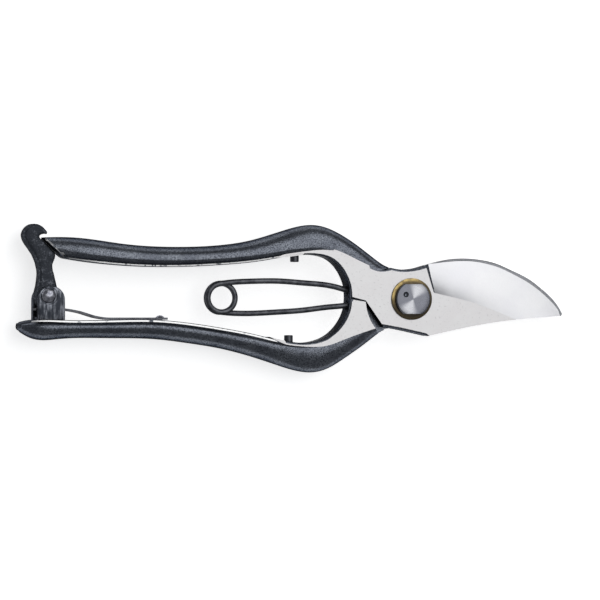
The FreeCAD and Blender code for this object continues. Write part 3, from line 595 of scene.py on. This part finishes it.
class Socket:
    """A shader socket that Python's operators work on."""

    def __init__(self, shader, link):
        self.shader, self.link = shader, link

    def _math(self, operation, *values):
        return self.shader.node("ShaderNodeMath", {"operation": operation}, values)

    def __add__(self, other):
        return self._math("ADD", self, other)

    __radd__ = __add__

    def __sub__(self, other):
        return self._math("SUBTRACT", self, other)

    def __rsub__(self, other):
        return self._math("SUBTRACT", other, self)

    def __mul__(self, other):
        return self._math("MULTIPLY", self, other)

    __rmul__ = __mul__

    def __truediv__(self, other):
        return self._math("DIVIDE", self, other)

    def __pow__(self, other):
        return self._math("POWER", self, other)

    def part(self, axis):
        """One coordinate of a place: 0, 1 or 2."""
        return self.shader.node("ShaderNodeSeparateXYZ", {}, [self], axis)

    def between(self, low, high):
        """0 below low, 1 above high, and smooth between."""
        return self.shader.node(
            "ShaderNodeMapRange", {"interpolation_type": "SMOOTHSTEP"},
            {"Value": self, "From Min": low, "From Max": high},
        )


class Shader:
    """A material's nodes, with a Principled surface."""

    def __init__(self, name, **constants):
        self.material = bpy.data.materials.new(name)
        self.material.use_nodes = True
        self.nodes = self.material.node_tree.nodes
        self.links = self.material.node_tree.links
        self.surface = self.nodes["Principled BSDF"]
        for key, value in constants.items():
            self.surface.inputs[key.replace("_", " ")].default_value = value
        self.place = self.node("ShaderNodeTexCoord", {}, {}, "Object")

    def node(self, kind, settings, values, output=0):
        """Adds a node: its settings first, then the values or links of its sockets."""
        made = self.nodes.new(kind)
        for key, value in settings.items():
            setattr(made, key, value)
        pairs = values.items() if isinstance(values, dict) else enumerate(values)
        for key, value in pairs:
            self.feed(made.inputs[key], value)
        return Socket(self, made.outputs[output])

    def feed(self, target, value):
        """Links a socket to an input, or puts a plain value in it."""
        if isinstance(value, Socket):
            self.links.new(value.link, target)
        else:
            target.default_value = value

    def set(self, name, value):
        """Gives the surface's named input a value or a socket."""
        self.feed(self.surface.inputs[name], value)

    def noise(self, scale, detail=3.0, roughness=0.55, stretch=None):
        """Cloudy noise, its scale in features per metre, stretched along the axes if asked."""
        where = self.place
        if stretch:
            where = self.node("ShaderNodeMapping", {}, {"Vector": self.place, "Scale": stretch})
        return self.node(
            "ShaderNodeTexNoise", {},
            {"Vector": where, "Scale": scale, "Detail": detail, "Roughness": roughness},
        )

    def colours(self, share, low, high):
        """A colour between two given as red, green and blue."""
        return self.node(
            "ShaderNodeMix", {"data_type": "RGBA"},
            {0: share, 6: (*low, 1.0), 7: (*high, 1.0)}, 2,
        )

    def mixed(self, share, low, high):
        """A colour between two, either of which may be a socket."""
        return self.node("ShaderNodeMix", {"data_type": "RGBA"}, {0: share, 6: low, 7: high}, 2)

    def bump(self, height, distance, strength=1.0):
        """Bumps the surface by a height, over a distance in metres."""
        normal = self.node(
            "ShaderNodeBump", {}, {"Height": height, "Distance": distance, "Strength": strength},
        )
        self.set("Normal", normal)


def black_oxide():
    """Blue-black oxide over a forged skin: a mottled sheen, fine pores and bright pinpricks."""
    s = Shader("black_oxide", Metallic=0.95, Specular_Tint=(0.04, 0.045, 0.055, 1.0))
    cloud = s.noise(130.0, 4.0, 0.6)
    grain = s.noise(2400.0, 3.0, 0.75)
    specks = s.noise(1900.0, 2.0, 0.6).between(0.66, 0.74)
    tone = s.colours(cloud.between(0.3, 0.7), (0.125, 0.136, 0.162), (0.200, 0.215, 0.245))
    pored = s.mixed(grain.between(0.42, 0.62), tone, (0.045, 0.050, 0.062, 1.0))
    s.set("Base Color", s.mixed(specks * 0.6, pored, (0.30, 0.32, 0.36, 1.0)))
    s.set("Roughness", 0.16 + 0.08 * cloud + 0.14 * grain)
    s.bump(cloud * 0.8 + grain * 0.22 + s.noise(520.0, 2.0) * 0.4, 0.00016, 0.6)
    return s.material


def bright_steel():
    """Steel polished on a fine belt: a soft grain, grey freckles and a few handling marks."""
    s = Shader("bright_steel", Metallic=1.0)
    grain = s.noise(1500.0, 4.0, 0.75)
    haze = s.noise(90.0, 4.0, 0.6)
    freckles = s.noise(1300.0, 2.0, 0.6).between(0.60, 0.72)
    scratch = s.noise(420.0, 2.0, 0.5, (1.0, 16.0, 1.0)).between(0.70, 0.74)
    tone = s.colours(haze.between(0.3, 0.75), (0.585, 0.575, 0.580), (0.640, 0.638, 0.640))
    s.set("Base Color", s.mixed(0.55 * freckles, tone, (0.42, 0.41, 0.42, 1.0)))
    s.set("Roughness", 0.27 + 0.10 * haze + 0.10 * grain + 0.08 * scratch)
    s.bump(grain + s.noise(150.0, 2.0) * 2.0, 0.00003, 0.45)
    return s.material


def ground_bevel():
    """The hollow grind: wheel marks across the blade and a finer polish than the flats have."""
    s = Shader("ground_bevel", Metallic=1.0)
    wheel = s.noise(1500.0, 4.0, 0.65, (9.0, 1.0, 1.0))
    haze = s.noise(70.0, 3.0, 0.6)
    tone = s.colours(haze.between(0.3, 0.75), (0.60, 0.60, 0.62), (0.66, 0.66, 0.67))
    s.set("Base Color", s.mixed(wheel.between(0.45, 0.75) * 0.3, tone, (0.48, 0.48, 0.50, 1.0)))
    s.set("Roughness", 0.22 + 0.10 * haze + 0.12 * wheel)
    s.bump(wheel, 0.00003, 0.5)
    return s.material


def worn_edge():
    """Oxide rubbed through to bright steel along an edge, with a few dark breaks left."""
    s = Shader("worn_edge", Metallic=1.0)
    patch = s.noise(300.0, 4.0, 0.65).between(0.34, 0.44)
    s.set("Base Color", s.colours(patch, (0.08, 0.09, 0.11), (0.68, 0.68, 0.68)))
    s.set("Roughness", 0.42 - 0.12 * patch)
    s.bump(s.noise(900.0, 3.0), 0.00005, 0.4)
    return s.material


def honed_edge():
    """The honed strip at the cutting edge and the hook's bite: grey and fine-lined, its grey darkened as
    painted shade for the shaded seam along the edge.
    """
    s = Shader("honed_edge", Metallic=1.0)
    line = s.noise(1800.0, 3.0, 0.6, (6.0, 1.0, 1.0))
    # Painted shade: a darker grey than the ground steel, standing in for the shade along the cutting
    # edge's seam and on the hook's strip.
    s.set("Base Color", s.colours(line.between(0.35, 0.7), (0.16, 0.165, 0.18), (0.34, 0.345, 0.36)))
    s.set("Roughness", 0.34 + 0.12 * line)
    s.bump(line, 0.00003, 0.4)
    return s.material


def cast_black():
    """The latch's rough black skin: lumps, pores and rubbed high spots."""
    s = Shader("cast_black", Metallic=0.85, Specular_Tint=(0.12, 0.13, 0.15, 1.0))
    lumps = s.noise(380.0, 5.0, 0.65)
    pores = s.noise(1700.0, 3.0, 0.65)
    rubbed = (lumps * 0.5 + pores * 0.5).between(0.50, 0.66)
    s.set("Base Color", s.colours(rubbed, (0.045, 0.050, 0.060), (0.155, 0.165, 0.190)))
    s.set("Roughness", 0.44 - 0.12 * rubbed + 0.12 * pores)
    s.bump(lumps + pores * 0.6, 0.00030, 0.9)
    return s.material


def scraped_black():
    """The bracket's skin: black, with upright scrape marks that show steel."""
    s = Shader("scraped_black", Metallic=0.9, Specular_Tint=(0.12, 0.13, 0.15, 1.0))
    scrape = s.noise(900.0, 4.0, 0.6, (1.0, 0.16, 1.0))
    lumps = s.noise(300.0, 4.0, 0.6)
    shown = (scrape * 0.7 + lumps * 0.3).between(0.44, 0.62)
    s.set("Base Color", s.colours(shown, (0.045, 0.050, 0.062), (0.230, 0.243, 0.275)))
    s.set("Roughness", 0.42 - 0.10 * shown)
    s.bump(scrape + lumps * 0.5, 0.00016, 0.8)
    return s.material


def spring_black():
    """Oil-blacked spring wire with drawn lines and a low sheen."""
    s = Shader("spring_black", Metallic=0.8, Specular_Tint=(0.10, 0.10, 0.12, 1.0))
    cloud = s.noise(360.0, 3.0, 0.6)
    s.set("Base Color", s.colours(cloud.between(0.3, 0.7), (0.060, 0.062, 0.072), (0.150, 0.155, 0.170)))
    s.set("Roughness", 0.30 + 0.16 * cloud)
    s.bump(s.noise(1500.0, 2.0), 0.00006, 0.5)
    return s.material


RINGS_PER_METRE = 5200
# Turn of the painted hourglass highlight across the bolt's face.
PAINTED_BOW_TURN = math.radians(130)


def around_pivot(shader):
    """A place's x, y and distance from the pivot's axis."""
    x, y = shader.place.part(0), shader.place.part(1)
    return x, y, (x * x + y * y) ** 0.5


def turned_steel():
    """The bolt's face: fine turned rings, an hourglass-shaped painted highlight in its colour standing
    in for the light the rings catch, a grey bloom, and painted shade towards the rim.
    """
    s = Shader("turned_steel", Metallic=1.0)
    x, y, radius = around_pivot(s)
    rings = s.node(
        "ShaderNodeTexNoise", {"noise_dimensions": "1D"},
        {"W": radius * RINGS_PER_METRE, "Scale": 1.0, "Detail": 3.0, "Roughness": 0.7},
    )
    bloom = s.noise(420.0, 4.0, 0.65)
    # Painted shade: the face is darkened towards its rim.
    rim = radius.between(0.0040, 0.0062)
    # Painted highlight: an hourglass of lighter colour about the axis, standing in for the light the
    # turned rings catch.
    along = (x * x - y * y) * math.cos(PAINTED_BOW_TURN) + x * y * (2 * math.sin(PAINTED_BOW_TURN))
    painted_bow_highlight = along / (radius * radius + 1e-7)
    sheen = (painted_bow_highlight + bloom * 0.3).between(0.05, 1.2)
    face = s.colours(sheen, (0.17, 0.175, 0.20), (0.54, 0.545, 0.57))
    lined = s.mixed(rings.between(0.35, 0.65) * 0.35, face, (0.16, 0.165, 0.19, 1.0))
    s.set("Base Color", s.mixed(rim * 0.6, lined, (0.12, 0.125, 0.145, 1.0)))
    s.set("Roughness", 0.22 + 0.12 * bloom)
    s.bump(rings, 0.00001, 1.0)
    return s.material


def plain_brass():
    """Washer brass: brown with age, darkened next to the bolt's head as painted shade, and brighter
    towards one side as painted light.
    """
    s = Shader("plain_brass", Metallic=1.0)
    tarnish = s.noise(420.0, 4.0, 0.6)
    x, y, radius = around_pivot(s)
    # Painted shade: dark next to the bolt's head, where the head shades the washer.
    painted_shade_by_head = 1 - (radius + tarnish * 0.0006).between(0.0062, 0.0073)
    brass_tone = s.colours(tarnish.between(0.35, 0.65), (0.56, 0.42, 0.17), (0.22, 0.165, 0.08))
    # Painted light and shade: this mask keeps the brass tone towards -x and +y and darkens the rest,
    # standing in for a lit and a shaded side.
    rubbed = (y * 0.8 - x * 0.6 + tarnish * 0.003).between(0.002, 0.0075)
    tarnish_and_painted_side_shade = s.mixed(rubbed, (0.085, 0.068, 0.042, 1.0), brass_tone)
    s.set("Base Color", s.mixed(painted_shade_by_head * 0.85, tarnish_and_painted_side_shade, (0.045, 0.038, 0.030, 1.0)))
    s.set("Roughness", 0.28 + 0.20 * tarnish)
    s.bump(s.noise(1200.0, 2.0), 0.00003, 0.4)
    return s.material


def rivet_steel():
    """Hammered rivet heads: blue-grey, planished in small facets."""
    s = Shader("rivet_steel", Metallic=1.0, Specular_Tint=(0.2, 0.2, 0.24, 1.0))
    blows = s.noise(650.0, 2.0, 0.5)
    s.set("Base Color", s.colours(blows.between(0.35, 0.65), (0.20, 0.205, 0.24), (0.48, 0.49, 0.54)))
    s.set("Roughness", 0.20 + 0.14 * blows)
    s.bump(blows, 0.00016, 0.7)
    return s.material


# The finishes of the two forgings, by their places in the forgings' list of materials.
BLACK, STEEL, GROUND, WORN, HONED = range(5)
BLACK_OXIDE = black_oxide()
BRIGHT_STEEL = bright_steel()
GROUND_BEVEL = ground_bevel()
WORN_EDGE = worn_edge()
HONED_EDGE = honed_edge()
CAST_BLACK = cast_black()
SCRAPED_BLACK = scraped_black()
SPRING_BLACK = spring_black()
TURNED_STEEL = turned_steel()
PLAIN_BRASS = plain_brass()
RIVET_STEEL = rivet_steel()
FORGING = [BLACK_OXIDE, BRIGHT_STEEL, GROUND_BEVEL, WORN_EDGE, HONED_EDGE]


# ---------------------------------------------------------------- the pivot's hardware

def turned(profile, name, materials, crease=30.0, segments=ROUND_SIDES):
    """A piece turned about the pivot's axis from a profile of (radius, height) points."""
    bm = bmesh.new()
    verts = [bm.verts.new(Vector((r, 0, z)) * MM) for r, z in profile]
    edges = [bm.edges.new(pair) for pair in zip(verts, verts[1:])]
    bmesh.ops.spin(
        bm, geom=verts + edges, cent=(0, 0, 0), axis=(0, 0, 1), angle=2 * math.pi,
        steps=segments, use_merge=True,
    )
    bmesh.ops.remove_doubles(bm, verts=bm.verts, dist=1e-6)
    bmesh.ops.recalc_face_normals(bm, faces=bm.faces)
    return finish_piece(bm, name, materials, crease)


# The bolt's head, its two flats and the dot punched in its face.
HEAD_RADIUS = 6.25
HEAD_FLAT = 5.25
HEAD_BASE = FRONT + WASHER_THICKNESS
RIM = 0.45
FLAT_TOOL = 4.0
FLAT_TOOL_SHAPE = (5, 1, 1.02)
DOT = (-2.7, 1.6)
DOT_RADIUS = 1.15
DOT_LIFT = 0.55

WASHER_INNER = BOLT_RADIUS + 0.02
WASHER_OUTER = 7.4
WASHER_RIM = 0.18
WASHER_BREAK = 0.05


def pivot_bolt():
    """The bolt: a low head with a rounded rim and two flats, and a punched dot off its centre."""
    rim = [
        (HEAD_RADIUS - RIM + RIM * math.cos(a), HEAD_TOP - RIM + RIM * math.sin(a))
        for a in np.linspace(0, math.pi / 2, 5)
    ]
    face = [(4.2, HEAD_TOP - 0.01), (2.0, HEAD_TOP), (0.0, HEAD_TOP)]
    profile = [(0, 0), (3.6, 0), (BOLT_RADIUS, 0.4), (BOLT_RADIUS, HEAD_BASE), (HEAD_RADIUS, HEAD_BASE)]
    bolt = turned(profile + rim + face, "pivot_bolt_turned", [TURNED_STEEL, BLACK_OXIDE])
    for side in (1, -1):
        bm = bmesh.new()
        half = FLAT_TOOL / 2
        place = Matrix.Translation(Vector((0, side * (HEAD_FLAT + half), HEAD_BASE + half)) * MM)
        shape = Matrix.Diagonal((*FLAT_TOOL_SHAPE, 1))
        bmesh.ops.create_cube(bm, size=FLAT_TOOL * MM, matrix=place @ shape)
        combine(bolt, finish_piece(bm, "flat", [TURNED_STEEL]), "DIFFERENCE")
    bm = bmesh.new()
    place = Matrix.Translation(Vector((*DOT, HEAD_TOP + DOT_LIFT)) * MM)
    bmesh.ops.create_uvsphere(
        bm, u_segments=32, v_segments=16, radius=DOT_RADIUS * MM, matrix=place,
    )
    for face in bm.faces:
        face.material_index = 1
    combine(bolt, finish_piece(bm, "punch", [TURNED_STEEL, BLACK_OXIDE]), "DIFFERENCE")
    return bolt


def washer(name, bottom):
    """A flat washer with its rims just broken."""
    top, inner, outer, rim = bottom + WASHER_THICKNESS, WASHER_INNER, WASHER_OUTER, WASHER_RIM
    corner = outer - WASHER_BREAK
    profile = (
        (inner, bottom), (outer - rim, bottom), (corner, bottom + WASHER_BREAK), (outer, bottom + rim),
        (outer, top - rim), (corner, top - WASHER_BREAK), (outer - rim, top), (inner, top),
        (inner, bottom),
    )
    return turned(profile, name, [PLAIN_BRASS])


# ---------------------------------------------------------------- the latch

LATCH_OUTLINE = (
    (
        (-137.1, 1.0), (-136.1, 5.2), (-135.8, 10.3), (-136.7, 13.8), (-138.4, 16.9),
        (-140.7, 20.2), (-141.4, 22.7), (-140.2, 25.3), (-137.4, 26.6), (-134.8, 25.9),
        (-132.7, 23.7),
    ),
    ((-132.7, 23.7), (-132.9, 23.0)),
    ((-132.9, 23.0), (-134.8, 22.9), (-135.6, 22.2), (-135.2, 21.4), (-134.2, 20.6)),
    ((-134.2, 20.6), (-129.9, 16.3)),
    (
        (-129.9, 16.3), (-129.9, 14.6), (-130.8, 12.3), (-130.5, 9.6), (-129.7, 6.4),
        (-129.1, 3.4), (-128.95, 1.0),
    ),
    (
        (-128.95, 1.0), (-129.4, -0.8), (-130.9, -2.3), (-133.0, -2.85), (-135.2, -2.3),
        (-136.7, -0.8), (-137.1, 1.0),
    ),
)
LATCH_HALF = 3.0
LATCH_ROUND = 1.1
LUMP_HEIGHT = 0.10
LUMP_SCALE = 0.9


def drawn_in(plan, amount):
    """A closed plan drawn in by an amount, each point along its own inward bisector."""
    points = [Vector(p) for p in plan]
    area = sum(a.x * b.y - b.x * a.y for a, b in zip(points, points[1:] + points[:1]))
    turn = 1 if area > 0 else -1
    shifted = []
    for before, here, after in zip(points[-1:] + points[:-1], points, points[1:] + points[:1]):
        way = ((here - before).normalized() + (after - here).normalized()).normalized()
        shifted.append(here + Vector((-way.y, way.x)) * turn * amount)
    return shifted


def rough(bm, amount, scale):
    """Cast lumps: every point moves a little along its normal, by noise of its place."""
    bm.normal_update()
    for vert in bm.verts:
        vert.co += vert.normal * amount * MM * noise.noise(vert.co / MM * scale)


def rounded_plate(plan, half, rounding, steps=4):
    """Rings of a plate whose edges are rounded over at both faces."""
    rings = []
    quarter = np.linspace(0, math.pi / 2, steps + 1)
    for side, angles in ((-1, quarter[::-1]), (1, quarter)):
        for angle in angles:
            inset = rounding * (1 - math.cos(angle))
            height = side * (half - rounding + rounding * math.sin(angle))
            rings.append([(p.x, p.y, MIDDLE + height) for p in drawn_in(plan, inset)])
    return rings


def latch():
    """The latch: a cast lever with a bird-like head, rounded edges and lumpy faces."""
    plan = closed_outline(LATCH_OUTLINE, 0.6)
    bm = loft(rounded_plate(plan, LATCH_HALF, LATCH_ROUND))
    faces = [f for f in bm.faces if len(f.verts) > 4]
    bmesh.ops.triangulate(bm, faces=faces)
    bmesh.ops.subdivide_edges(bm, edges=[e for e in bm.edges if e.calc_length() > 1.2 * MM], cuts=2)
    bmesh.ops.triangulate(bm, faces=[f for f in bm.faces if len(f.verts) > 4])
    rough(bm, LUMP_HEIGHT, LUMP_SCALE)
    return finish_piece(bm, "latch_lever_cast", [CAST_BLACK], 50)


# The latch's clevis on the lower handle's end, and its rivet.
EAR_X, EAR_Y, EAR_RADIUS = -131.9, -0.3, 4.9
SEAT_Y = -7.4
EAR_THICKNESS = 2.3
EAR_GAP = 0.15
EAR_ROUND = 0.45
FLOOR_THICKNESS = 1.0
FLOOR_INSET = 0.8
DISH_ROOM = 0.7
DISH_DEPTH = 0.35
PIN = (-133.0, 1.2)
PIN_HEAD = 2.6
PIN_DOME = 1.1
PIN_SHANK = 1.75
PIN_SUNK = 0.25


def ear(low):
    """A bracket's ear: round top, straight sides, edges rounded over and faces left rough."""
    angles = np.linspace(0, math.pi, 13)
    top = tuple((EAR_X + EAR_RADIUS * math.cos(a), EAR_Y + EAR_RADIUS * math.sin(a)) for a in angles)
    left, right = (EAR_X - EAR_RADIUS, SEAT_Y), (EAR_X + EAR_RADIUS, SEAT_Y)
    plan = closed_outline((top, (top[-1], left), (left, right), (right, top[0])), 0.5)
    half = EAR_THICKNESS / 2
    rings = rounded_plate(plan, half, EAR_ROUND, 3)
    lift = low + half - MIDDLE
    bm = loft([[(x, y, z + lift) for x, y, z in ring] for ring in rings])
    return finish_piece(bm, "ear", [SCRAPED_BLACK])


def bracket():
    """The latch's clevis: two ears on a floor, dished round the pin's front head."""
    inner = LATCH_HALF + EAR_GAP
    piece = ear(MIDDLE + inner)
    combine(piece, ear(MIDDLE - inner - EAR_THICKNESS), "UNION")
    bm = bmesh.new()
    place = Matrix.Translation(Vector((EAR_X, SEAT_Y + FLOOR_THICKNESS / 2, MIDDLE)) * MM)
    width = 2 * EAR_RADIUS - FLOOR_INSET
    shape = Matrix.Diagonal((width, FLOOR_THICKNESS, 2 * inner + OVERCUT, 1))
    bmesh.ops.create_cube(bm, size=MM, matrix=place @ shape)
    combine(piece, finish_piece(bm, "bridge", [SCRAPED_BLACK]), "UNION")
    front = MIDDLE + inner + EAR_THICKNESS
    dish = drum("dish", PIN_HEAD + DISH_ROOM, front - DISH_DEPTH, front + OVERCUT, PIN)
    combine(piece, dish, "DIFFERENCE")
    return piece


def latch_pin():
    """The latch's rivet: a shank with a hammered dome at each end."""
    face = LATCH_HALF + EAR_GAP + EAR_THICKNESS - PIN_SUNK
    tall = PIN_DOME + PIN_SUNK
    dome = [
        (PIN_HEAD * math.cos(a), face + tall * math.sin(a)) for a in np.linspace(0, math.pi / 2, 12)
    ]
    half = [(PIN_SHANK, face - 0.01)] + dome
    profile = [(r, MIDDLE - h) for r, h in half[::-1]] + [(r, MIDDLE + h) for r, h in half]
    piece = turned(profile, "latch_pin_domed", [RIVET_STEEL], 60, 48)
    piece.data.transform(Matrix.Translation(Vector((*PIN, 0)) * MM))
    return piece


# ---------------------------------------------------------------- the scene

def show(piece, body, slot, *nodes):
    """Puts a modelled piece in its body, in place of the CAD nodes it stands for; its slot is not used.
    """
    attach(piece, body)
    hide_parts(*nodes)


def coat(node, material):
    """Gives a CAD node its finish."""
    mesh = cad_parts[node].data
    mesh.materials.clear()
    mesh.materials.append(material)


show(blade_forging(), "blade_side", "black_forged", "blade_arm")
show(hook_forging(), "hook_side", "black_forged", "hook_arm")
show(pivot_bolt(), "blade_side", "bright_steel", "pivot_bolt")
show(washer("washer_front_turned", FRONT), "blade_side", "washer_brass", "washer_front")
show(washer("washer_back_turned", BACK - WASHER_THICKNESS), "blade_side", "washer_brass", "washer_back")
show(latch(), "latch_lever", "black_latch", "latch")
show(bracket(), "hook_side", "black_latch", "latch_bracket")
show(latch_pin(), "hook_side", "black_latch", "latch_pin")
for name in ("spring_upper", "spring_lower", "peg_upper", "peg_lower", "leaf_spring"):
    coat(name, SPRING_BLACK)
coat("leaf_rivet", RIVET_STEEL)
coat("pivot_nut", TURNED_STEEL)


# ---------------------------------------------------------------- floor, light and camera

CENTRE = Vector((-39.65, -0.35, MIDDLE)) * MM
SOFTBOX_PLACE = (0.27, 0.36, 1.0)
SOFTBOX_WIDTH, SOFTBOX_DEPTH = 0.9, 1.25
SOFTBOX_POWER = 5.15
WORLD_COLOUR = (0.95, 0.97, 1.0, 1.0)
WORLD_STRENGTH = 0.24
PAPER_GLOW = 0.66
FLOOR_SIZE = 3.0


def area_light(name, place, target, width, depth, power):
    """A white softbox at a place, turned towards a target."""
    light = bpy.data.lights.new(name, "AREA")
    light.shape, light.size, light.size_y = "RECTANGLE", width, depth
    light.energy = power
    made = bpy.data.objects.new(name, light)
    made.location = place
    made.rotation_euler = (Vector(target) - Vector(place)).to_track_quat("-Z", "Y").to_euler()
    bpy.context.scene.collection.objects.link(made)


def floor_paper():
    """White paper with a glow of its own, so that shadows on it stay faint."""
    s = Shader(
        "floor_paper", Roughness=0.9, Emission_Color=(1.0, 1.0, 1.0, 1.0),
        Emission_Strength=PAPER_GLOW,
    )
    s.set("Base Color", s.colours(s.noise(3.0, 2.0), (0.90, 0.90, 0.90), (0.93, 0.93, 0.93)))
    return s.material


bm = bmesh.new()
bmesh.ops.create_grid(bm, x_segments=8, y_segments=8, size=FLOOR_SIZE)
floor = finish_piece(bm, "floor", [floor_paper()])

world = bpy.data.worlds.new("studio")
world.use_nodes = True
background = world.node_tree.nodes["Background"]
background.inputs["Color"].default_value = WORLD_COLOUR
background.inputs["Strength"].default_value = WORLD_STRENGTH
bpy.context.scene.world = world
bpy.context.scene.view_settings.view_transform = "Standard"

area_light("overhead", SOFTBOX_PLACE, CENTRE, SOFTBOX_WIDTH, SOFTBOX_DEPTH, SOFTBOX_POWER)

LENS, SENSOR = 1500.0, 36.0
VIEW_WIDTH = 0.2128
TILT = math.radians(15)
camera = bpy.data.objects.new("camera", bpy.data.cameras.new("camera"))
camera.data.lens, camera.data.sensor_width = LENS, SENSOR
camera.data.clip_start, camera.data.clip_end = 1.0, 100.0
reach = VIEW_WIDTH * LENS / SENSOR
camera.location = CENTRE + Vector((-math.sin(TILT), 0, math.cos(TILT))) * reach
camera.rotation_euler = (0, -TILT, 0)
bpy.context.scene.collection.objects.link(camera)
bpy.context.scene.camera = camera
